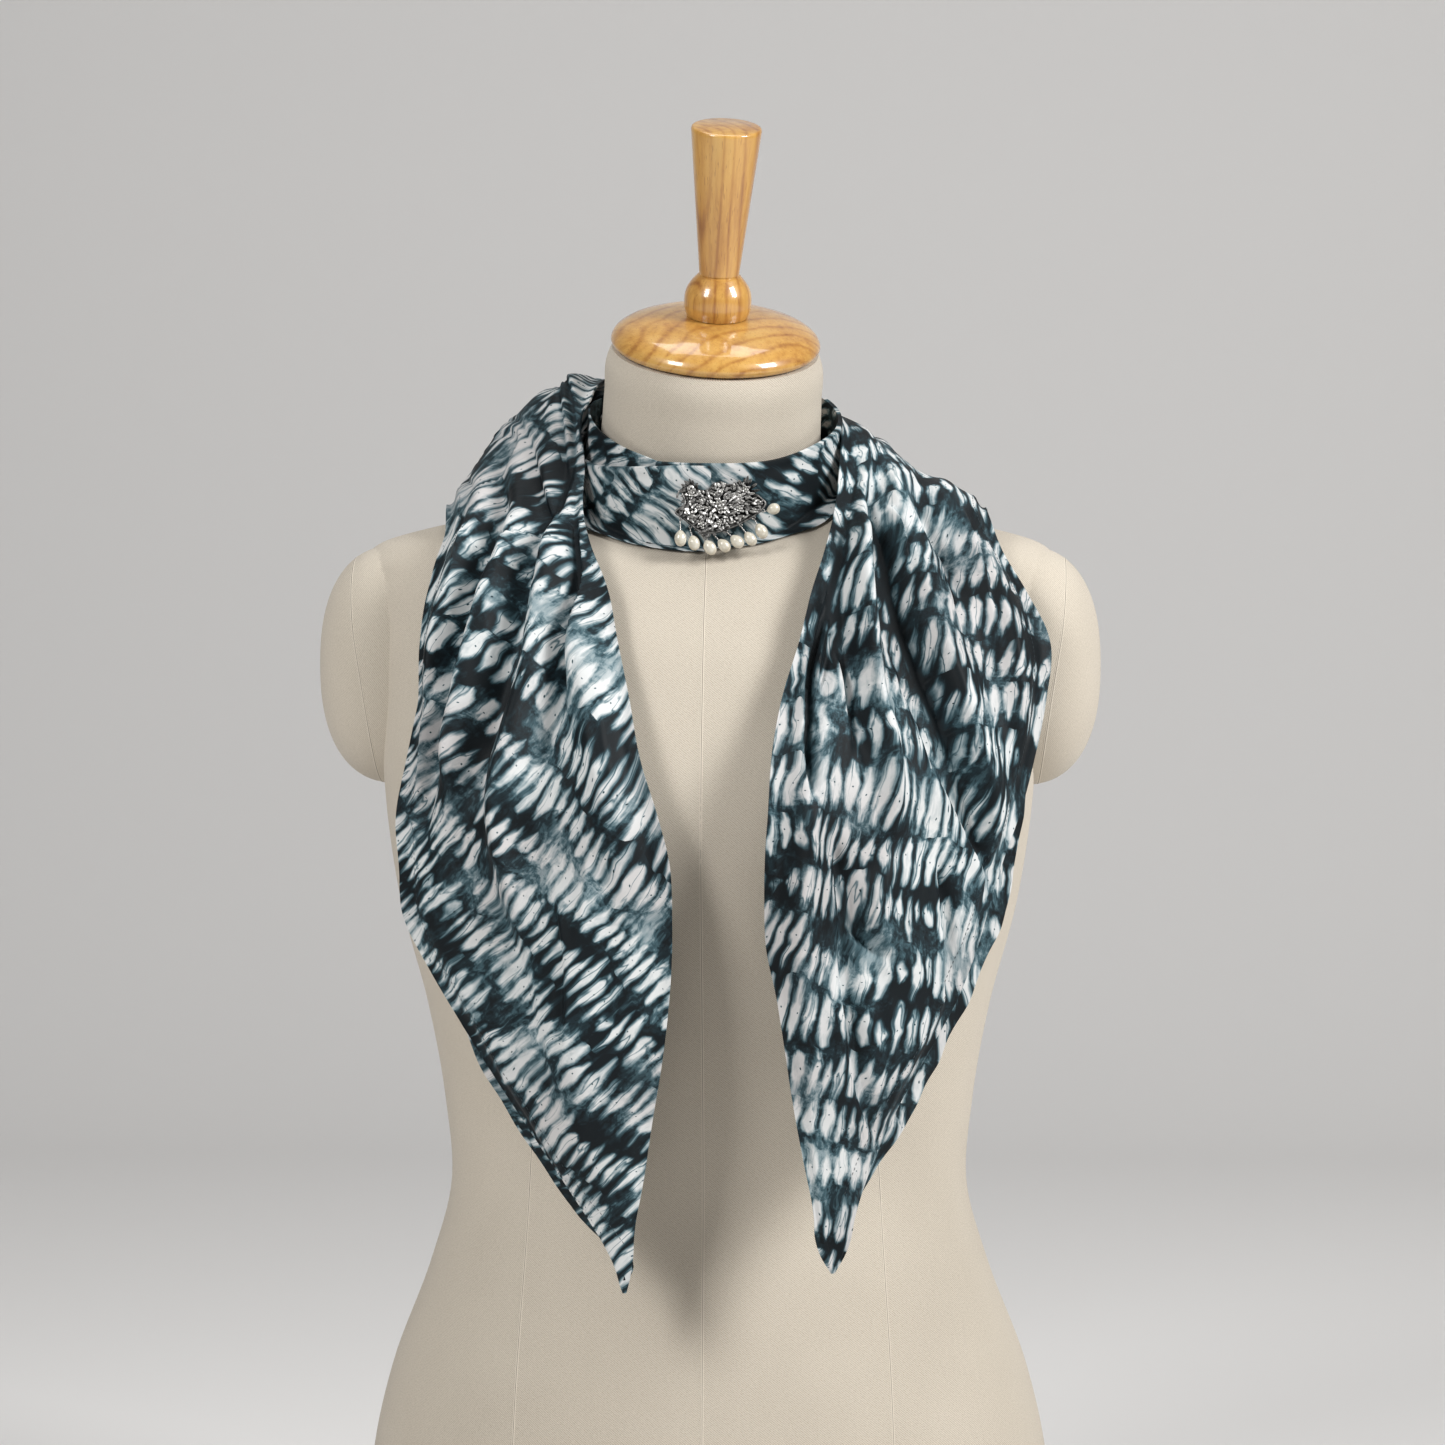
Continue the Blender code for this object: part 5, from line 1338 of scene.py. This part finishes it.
def band_step(rows, angle, part):
    swell = 1.2 * np.sin(part * math.pi)
    x, y = angle / 57.3 * 0.07, part * 0.05
    drawn = rippled(11, 12, (0.018, 0.05), (0.9, 1.5), x * 0.35, y)
    fine = rippled(12, 12, (0.006, 0.016), (0.7, 1.4), x * 0.5, y)
    calm = ease(0, 0.12, part) * (1 - ease(0.9, 1, part))
    top_fold = 0.5 * np.exp(-(((part - 0.97) / 0.03) ** 2))
    return rows[:, 2:3] + swell, MM * (calm * (0.42 * drawn + 0.16 * fine) + top_fold) * 0.9 + 0.35 * MM


band = around_neck("neckband_cloth", BAND, 420, 40, BAND_THICKNESS, band_step, BAND_PETAL_TURN, BAND_CLEARANCE)
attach(band, ROOT)
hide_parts("neckband")
def ply_step(rows, angle, part):
    return -2.0 + 0 * part, 0.15 * MM * rippled(13, 8, (0.01, 0.03), (0, 1), angle * 0.001, part * 0.02)


inner_ply = around_neck("inner_ply_cloth", INNER_PLY, 120, 18, PLY_THICKNESS, ply_step, PLY_PETAL_TURN, 0)
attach(inner_ply, ROOT)
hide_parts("inner_ply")

# Brooch
# A half-moon of cast silver pinned through both laps of the band: a plate with a raised double border
# below, an arch above, and flowers and leaves soldered all over it. The recesses are oxidised dark.
BROOCH_SEEN = (0.0068, 0.6125)
BROOCH_TURN = math.radians(7.0)
BROOCH_FACING_UP = math.radians(10.5)
BROOCH_WALL = 1.5 * MM
BROOCH_OUTLINE = (
    (-24, -0.7), (-18.9, 3.4), (-20.6, 9.8), (-18.6, 13.6), (-14.2, 13.2), (-11.9, 11), (-6.4, 11.1),
    (-3.6, 13.8), (0.2, 14.7), (4, 13.4), (7.4, 13.8), (9.4, 15.3), (13.8, 14.3), (15.8, 11.2),
    (19.6, 7.4), (23.3, 3.7), (21.2, 0.2), (16.3, -3.5), (10.7, -6.6), (5.2, -9.1), (-0.9, -11.2),
    (-6.4, -12.1), (-11.2, -11.5), (-15.8, -7.8), (-19.8, -4.3),
)
# Flower heads raised on the plate: x, y, radius, height, in mm
BROOCH_FLOWERS = (
    (-15.6, 8.7, 3.2, 1.7), (12.4, 10.6, 3.0, 1.6), (-10.6, -7.1, 3.0, 1.5), (-1, 2.2, 4.4, 1.9),
    (9.2, 0.7, 3.0, 1.4), (-11.4, 1.5, 2.8, 1.3), (-1.2, -6.3, 2.6, 1.3),
)
# Leaf sprays that stand past the plate: x, y at the root, turn in degrees, length in mm
BROOCH_SPRAYS = (
    (-15.5, 10.6, 178, 6.2), (-15.8, 11.0, 152, 6.0), (-15.0, 11.5, 124, 5.2), (-14.2, 11.4, 96, 4.6),
    (-16.4, 9.2, 204, 5.4), (-17.0, 7.4, 226, 4.4), (-13.2, 11.0, 70, 3.8),
    (11.0, 12.2, 118, 4.6), (12.4, 12.6, 92, 4.8), (13.6, 12.2, 62, 5.2), (14.6, 11.0, 36, 5.4),
    (15.4, 9.6, 12, 5.0), (9.4, 12.0, 142, 4.2), (16.4, 8.0, -14, 3.6), (12.9, 13.0, 77, 5.6),
    (-17.6, 6.0, 214, 4.0), (-15.2, 12.0, 138, 5.6), (-16.6, 10.6, 190, 6.4), (-14.6, 11.8, 110, 5.4),
    (-9.6, -9.4, 232, 4.4), (-8.0, -10.0, 250, 4.4), (-6.4, -10.4, 266, 4.2), (-11.2, -8.4, 216, 4.0),
    (-4.6, -10.2, 284, 3.8), (-7.2, -10.6, 258, 5.2),
)
LEAF_COUNT = 700
SILVER_LIGHT = (0.50, 0.49, 0.47)
SILVER_DARK = (0.014, 0.014, 0.014)
WIRE_DARK = (0.22, 0.21, 0.20)
brooch_place = seen_at(BROOCH_SEEN[0], BROOCH_SEEN[1], -0.06)
brooch_plane = (
    Matrix.Translation(brooch_place) @ Matrix.Rotation(BROOCH_TURN, 4, "Z")
    @ Matrix.Rotation(math.radians(90) - BROOCH_FACING_UP, 4, "X")
)
outward = brooch_plane.to_3x3().col[2]
lowest = min((v.co - Vector(brooch_place)).dot(outward) for v in cad["brooch_plate"].data.vertices)
brooch_plane = brooch_plane @ Matrix.Translation((0, 0, lowest))
silver = Finish("oxidised_silver", {"Metallic": 1.0})
depth = silver.node(
    "ShaderNodeVectorMath", {"operation": "DOT_PRODUCT"},
    {0: silver.place(), 1: tuple(outward)}, "Value",
) - float(brooch_plane.translation.dot(outward))
tarnish = silver.noise(silver.place(), 420.0, 3.0, 0.6)
high = (depth * 1000.0 + (tarnish - 0.5) * 1.2).smooth(1.85, 2.75)
silver.feed("Base Color", silver.mix(high, (*SILVER_DARK, 1.0), (*SILVER_LIGHT, 1.0)))
silver.feed("Roughness", 0.52 - high * 0.22)
silver.bump(silver.noise(silver.place(), 900.0, 2.0), 0.08 * MM, 0.6)


wire_silver = Finish("silver_wire", {"Metallic": 1.0})
wear = wire_silver.noise(wire_silver.place(), 1300.0, 2.0)
wire_silver.feed("Base Color", wire_silver.mix(
    wear.smooth(0.35, 0.6), (*WIRE_DARK, 1.0), (*SILVER_LIGHT, 1.0)
))
wire_silver.feed("Roughness", wear * 0.2 + 0.2)


def into_plane(made):
    """Carries a piece made flat, in metres, into the brooch's place."""
    made.data.transform(brooch_plane)
    made.data.update()
    return made


outline = np.array(BROOCH_OUTLINE) * MM
loop = np.concatenate([outline[-2:], outline, outline[:3]])
round_loop = np.linspace(0, len(outline), 150, endpoint=False)
loop = through(np.column_stack([np.arange(len(loop)) - 2, loop]), round_loop)
middle = outline.mean(axis=0)
plate_steps = (
    (0.975, 0.0), (0.995, 0.25), (0.995, 1.3), (0.985, 1.5), (0.96, 1.5), (0.94, 1.25), (0.7, 1.3), (0.4, 1.45),
    (0.1, 1.5),
)
plate_rings = []
for scale, height in plate_steps:
    ring = middle + (loop - middle) * scale
    plate_rings.append(np.column_stack([ring, np.full(len(ring), height * MM)]))
plate = into_plane(ringed("brooch_base", plate_rings, silver.material, 30))
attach(plate, ROOT)
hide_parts("brooch_plate")


def part_of_outline(first, last, inset, height):
    """A stretch of the plate's outline, drawn in by an inset and raised."""
    count = len(loop)
    pick = np.arange(int(first * count), int(last * count)) % count
    line = middle + (loop[pick] - middle) * (1 - inset)
    return np.column_stack([line, np.full(len(line), height)])


drop_eyes = []
for number in range(1, 9):
    joint = next(j for j in frame["joints"] if j["name"] == "drop_%d_swing" % number)
    drop_eyes.append(Vector(joint["pos_m"]))
LINK_RADIUS = 0.75 * MM
links = []
to_plane = brooch_plane.inverted()
for eye_place in drop_eyes:
    local = to_plane @ eye_place
    flat = np.array((local.x, local.y))
    rim = loop[np.argmin(np.linalg.norm(loop - flat, axis=1))]
    off = (flat - rim) / np.linalg.norm(flat - rim)
    centre = flat - off * LINK_RADIUS
    turn_at = np.linspace(0, 2 * math.pi, 25)
    links.append(np.column_stack([
        centre[0] + LINK_RADIUS * np.cos(turn_at), centre[1] + LINK_RADIUS * np.sin(turn_at),
        np.full(25, BROOCH_WALL / 2),
    ]))
rows_of_border = [
    part_of_outline(0.62, 1.08, 0.015, 1.75 * MM), part_of_outline(0.62, 1.08, 0.10, 1.6 * MM),
    part_of_outline(0.24, 0.40, 0.02, 1.75 * MM), part_of_outline(0.25, 0.39, 0.13, 1.6 * MM),
    part_of_outline(0.56, 0.66, 0.02, 1.7 * MM),
]
for number, (x, y, radius, height) in enumerate(BROOCH_FLOWERS):
    t = np.linspace(0, 1, 22)
    bend = math.radians(40 + 73 * number) + 2.6 * t
    reach = radius * (1.15 + 1.1 * t)
    rows_of_border.append(np.column_stack([
        (x + reach * np.cos(bend)) * MM, (y + reach * np.sin(bend)) * 0.86 * MM, np.full(22, 1.65 * MM)
    ]))
border = into_plane(swept_wire("brooch_border", rows_of_border, 0.52 * MM, 8, silver.material))
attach(border, ROOT)
plate_links = into_plane(swept_wire("brooch_links", links, 0.27 * MM, 8, wire_silver.material))
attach(plate_links, ROOT)


def relief(name, places, turns, sizes_of, material, bead):
    """Leaves, or beads, at places on the plate, each with its own turn and its own size on three axes."""
    mesh = bpy.data.meshes.new(name)
    mesh.from_pydata([tuple(p) for p in places], [], [])
    for attribute, values in (("turn", turns), ("size", sizes_of)):
        layer = mesh.attributes.new(attribute, "FLOAT_VECTOR", "POINT")
        layer.data.foreach_set("vector", np.array(values, np.float32).ravel())
    points = bpy.data.objects.new(name, mesh)
    bpy.context.scene.collection.objects.link(points)
    graph, entry, sizes = geometry_graph(name + "_leaves", ("Vein",))
    ball = graph.node("GeometryNodeMeshUVSphere", None, {"Segments": 10, "Rings": 7, "Radius": 1.0})
    if not bead:
        at = graph.node("ShaderNodeSeparateXYZ", None, {0: graph.node("GeometryNodeInputPosition")})
        x, y, z = at, at.of(1), at.of(2)
        point = (1.0 - x * x).math("MAXIMUM", 0.0) ** 0.3
        vein = (y * y * -26.0).math("EXPONENT") * sizes["Vein"]
        thick = z * (1.0 - vein) + x * x * 0.3
        shape = graph.node("ShaderNodeCombineXYZ", None, {0: x, 1: y * point, 2: thick})
        ball = graph.node("GeometryNodeSetPosition", None, {0: ball, "Position": shape})
    spin = graph.node("GeometryNodeInputNamedAttribute", {"data_type": "FLOAT_VECTOR"}, {"Name": "turn"})
    size = graph.node("GeometryNodeInputNamedAttribute", {"data_type": "FLOAT_VECTOR"}, {"Name": "size"})
    angle = graph.node("FunctionNodeEulerToRotation", None, {0: spin})
    placed = graph.node("GeometryNodeInstanceOnPoints", None, {
        "Points": entry, "Instance": ball, "Rotation": angle, "Scale": size
    })
    real = graph.node("GeometryNodeRealizeInstances", None, {0: placed})
    smooth = graph.node("GeometryNodeSetShadeSmooth", None, {0: real})
    return into_plane(grown(points, graph, smooth, material, {"Vein": 0.55}))


def inside_outline(x, y, inset):
    """Whether a point, in metres, is well inside the plate's outline."""
    away = np.array((x, y)) - middle
    ring = loop - middle
    bearing = np.angle((ring @ (1, 1j)) / complex(*away))
    return np.linalg.norm(away) < np.linalg.norm(ring[np.argmin(np.abs(bearing))]) * (1 - inset)


def spot(x, y, out, spin, height):
    """In metres, the place this far out from x, y at a turn and this high, all given in mm."""
    return (x + out * math.cos(spin)) * MM, (y + out * math.sin(spin)) * MM, height * MM


random = np.random.default_rng(21)
leaf_places, leaf_turns, leaf_sizes = [], [], []
bead_places, bead_turns, bead_sizes = [], [], []
for x, y, radius, height in BROOCH_FLOWERS:
    petals = 6 if radius > 3.5 else 5
    for ring, (share, rise, tilt) in enumerate(((0.60, 0.35, -0.42), (0.34, 0.80, -0.62))):
        for k in range(petals):
            spin = 2 * math.pi * (k + 0.5 * ring) / petals + 0.35 * x
            out = radius * share
            leaf_places.append(spot(x, y, out, spin, 1.5 + height * rise * 0.8))
            leaf_turns.append((0, tilt, spin))
            size = radius * (0.46 - 0.14 * ring)
            leaf_sizes.append((size * MM, size * 0.72 * MM, 0.42 * MM))
    for k in range(7):
        spin, out = k * 2.4, radius * 0.07 * math.sqrt(k)
        bead_places.append(spot(x, y, out, spin, 1.6 + height * 0.95))
        bead_turns.append((0, 0, 0))
        bead_sizes.append((radius * 0.10 * MM,) * 3)
for x, y, degrees, length in BROOCH_SPRAYS:
    spin = math.radians(degrees)
    leaf_places.append(spot(x, y, length * 0.45, spin, 1.55))
    leaf_turns.append((0, -0.12, spin))
    leaf_sizes.append((length * 0.5 * MM, 0.95 * MM, 0.68 * MM))
grown_leaves = 0
while grown_leaves < LEAF_COUNT:
    x, y = random.uniform(-24, 24), random.uniform(-12, 15)
    if not inside_outline(x * MM, y * MM, 0.10):
        continue
    if any(math.hypot(x - fx, y - fy) < radius * 0.86 for fx, fy, radius, _ in BROOCH_FLOWERS):
        continue
    near = [math.hypot(x - p[0] / MM, y - p[1] / MM) for p in leaf_places]
    grown_leaves += 1
    if min(near) < 1.12:
        continue
    spin = math.atan2(y - 2.2, x + 1) + random.uniform(-1.0, 1.0)
    leaf_places.append((x * MM, y * MM, random.uniform(1.6, 2.3) * MM))
    leaf_turns.append((random.uniform(-0.4, 0.4), random.uniform(-0.5, 0.1), spin))
    length = random.uniform(1.3, 2.1)
    leaf_sizes.append((length * MM, length * 0.46 * MM, 0.55 * MM))
for stretch, count in (((0.62, 1.06), 58), ((0.25, 0.39), 16)):
    line = part_of_outline(*stretch, 0.058, 1.7 * MM)
    for x, y, z in line[np.linspace(0, len(line) - 1, count).astype(int)]:
        bead_places.append((x, y, z))
        bead_turns.append((0, 0, 0))
        bead_sizes.append((0.36 * MM,) * 3)
leaves = relief("brooch_leaves", leaf_places, leaf_turns, leaf_sizes, silver.material, False)
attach(leaves, ROOT)
beading = relief("brooch_beading", bead_places, bead_turns, bead_sizes, silver.material, True)
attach(beading, ROOT)

# Pearl drops
# Eight small freshwater pearls, each on a twisted silver wire whose ring hangs in a link of the plate.
# Each one swings outwards on its ring.
PEARLS = (  # radius, half length, in mm
    (3.1, 4.3), (3.0, 4.0), (3.2, 4.2), (3.0, 4.0), (3.2, 4.1), (3.0, 4.1), (3.1, 4.3), (2.9, 3.5),
)
RING_RADIUS = 0.62 * MM
WIRE_RADIUS = 0.24 * MM
nacre = Finish("cream_pearl", {
    "Coat Weight": 1.0, "Coat Roughness": 0.16, "Specular IOR Level": 0.7, "Sheen Weight": 0.1
})
cloudy = nacre.noise(nacre.place(), 260.0, 2.0)
banded = nacre.noise(nacre.scaled(nacre.place(), (300.0, 300.0, 900.0)), 1.0, 2.0)
nacre.feed("Base Color", nacre.mix(
    cloudy.smooth(0.3, 0.7), (0.53, 0.48, 0.375, 1.0), (0.66, 0.625, 0.53, 1.0)
))
nacre.feed("Roughness", banded * 0.16 + 0.20)
nacre.bump(banded, 0.05 * MM, 0.4)


def turned_drop(name, eye_place, down, side, deep, rows, around, material, bend):
    """A shape turned about the line down from an eye, from rows of distance and radius."""
    angle = np.linspace(0, 2 * math.pi, around, endpoint=False)
    rings = []
    for number, (along, out) in enumerate(rows):
        out = out * (1 + bend(along, angle))
        ring = np.outer(np.cos(angle) * out, side) + np.outer(np.sin(angle) * out, deep)
        rings.append(ring + np.array(eye_place) + np.array(down) * along)
    return ringed(name, rings, material, 60)


for number, (eye_place, (radius, half)) in enumerate(zip(drop_eyes, PEARLS), 1):
    radius, half = radius * MM, half * MM
    node = cad["pearl_drop_%d" % number]
    far = sorted(((v.co - eye_place).length, tuple(v.co)) for v in node.data.vertices)[-9:]
    tip = Vector(np.mean([p for _, p in far], axis=0))
    down = (tip - eye_place).normalized()
    length = (tip - eye_place).length - half
    side = outward.cross(down).normalized()
    deep = side.cross(down)
    t = np.linspace(-0.985, 1, 26)
    waist = 1 - 0.13 * np.exp(-((t + 0.8) / 0.25) ** 2)
    shape = np.sqrt(np.clip(1 - t**2, 0, 1)) * waist * (1 + 0.06 * t)
    rows = [(length + half * a, max(radius * b * 0.985, 0.12 * MM)) for a, b in zip(t, shape)]
    lumps = lambda along, angle: 0.02 * np.sin(2 * angle + number) + 0.012 * np.sin(900 * along + number)
    pearl = turned_drop("pearl_%d" % number, eye_place, down, side, deep, rows, 32, nacre.material, lumps)
    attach(pearl, "drop_%d" % number)
    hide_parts("pearl_drop_%d" % number)
    first, last = RING_RADIUS + 0.1 * MM, length - half * 0.93
    steps = max(8, int((last - first) / (0.14 * MM)))
    rows = [(a, 0.30 * MM) for a in np.linspace(first, last, steps)]
    rows = rows + [(last + past * MM, radius * MM) for past, radius in ((0.02, 0.62), (0.3, 0.8), (0.62, 0.86))]
    twist = lambda along, angle: 0.22 * np.cos(2 * angle - along * 5200)
    stem = turned_drop(
        "drop_wire_%d" % number, eye_place, down, side, deep, rows, 12, wire_silver.material, twist
    )
    turn_at = np.linspace(0, 2 * math.pi, 21)
    ring_line = [
        np.array(eye_place) + RING_RADIUS * (math.cos(a) * np.array(down) + math.sin(a) * np.array(deep))
        for a in turn_at
    ]
    ring = swept_wire("drop_ring_%d" % number, [ring_line], WIRE_RADIUS, 8, wire_silver.material)
    for wire in (stem, ring):
        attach(wire, "drop_%d" % number)
# Floor, backdrop and light
# A plain pale sweep of paper, two large soft boxes in front to the left and right, and a faint fill.
SWEEP_RADIUS = 0.9
SWEEP_BACK = 2.6
PAPER_COLOUR = (0.74, 0.73, 0.72, 1.0)
KEY_LIGHTS = (  # name, x, y, z, width, height, watts
    ("key_right", 1.85, -1.0, 1.75, 0.7, 1.1, 62.0),
    ("key_left", -1.3, -1.65, 1.75, 0.6, 1.0, 34.0),
    ("overhead", 0.0, 0.3, 2.7, 1.4, 1.0, 16.0),
)
WORLD_LIGHT = 0.14
paper = Finish("paper", {"Roughness": 0.95, "Base Color": PAPER_COLOUR})
bend = np.radians(np.linspace(0, 90, 49))
sweep_line = [(-4.0, 0.0)]
sweep_line += [(SWEEP_BACK + SWEEP_RADIUS * (math.sin(a) - 1), SWEEP_RADIUS * (1 - math.cos(a))) for a in bend]
sweep_line += [(SWEEP_BACK, 4.0)]
sweep_points = [(x, y, z) for y, z in sweep_line for x in (-4.0, 4.0)]
sweep_faces = [(2 * i, 2 * i + 1, 2 * i + 3, 2 * i + 2) for i in range(len(sweep_line) - 1)]
sweep = piece_from("paper_sweep", sweep_points, sweep_faces, [paper.material])
aim = Vector((0, 0, 0.48))
for name, x, y, z, wide, high, watts in KEY_LIGHTS:
    lamp = bpy.data.lights.new(name, "AREA")
    lamp.shape = "RECTANGLE"
    lamp.size, lamp.size_y, lamp.energy = wide, high, watts
    holder = shown(name, lamp)
    holder.location = (x, y, z)
    holder.rotation_euler = (aim - holder.location).to_track_quat("-Z", "Y").to_euler()
world = bpy.data.worlds.new("studio_fill")
world.use_nodes = True
world.node_tree.nodes["Background"].inputs["Color"].default_value = (1.0, 0.98, 0.96, 1.0)
world.node_tree.nodes["Background"].inputs["Strength"].default_value = WORLD_LIGHT
bpy.context.scene.world = world
bpy.context.scene.view_settings.view_transform = "Standard"
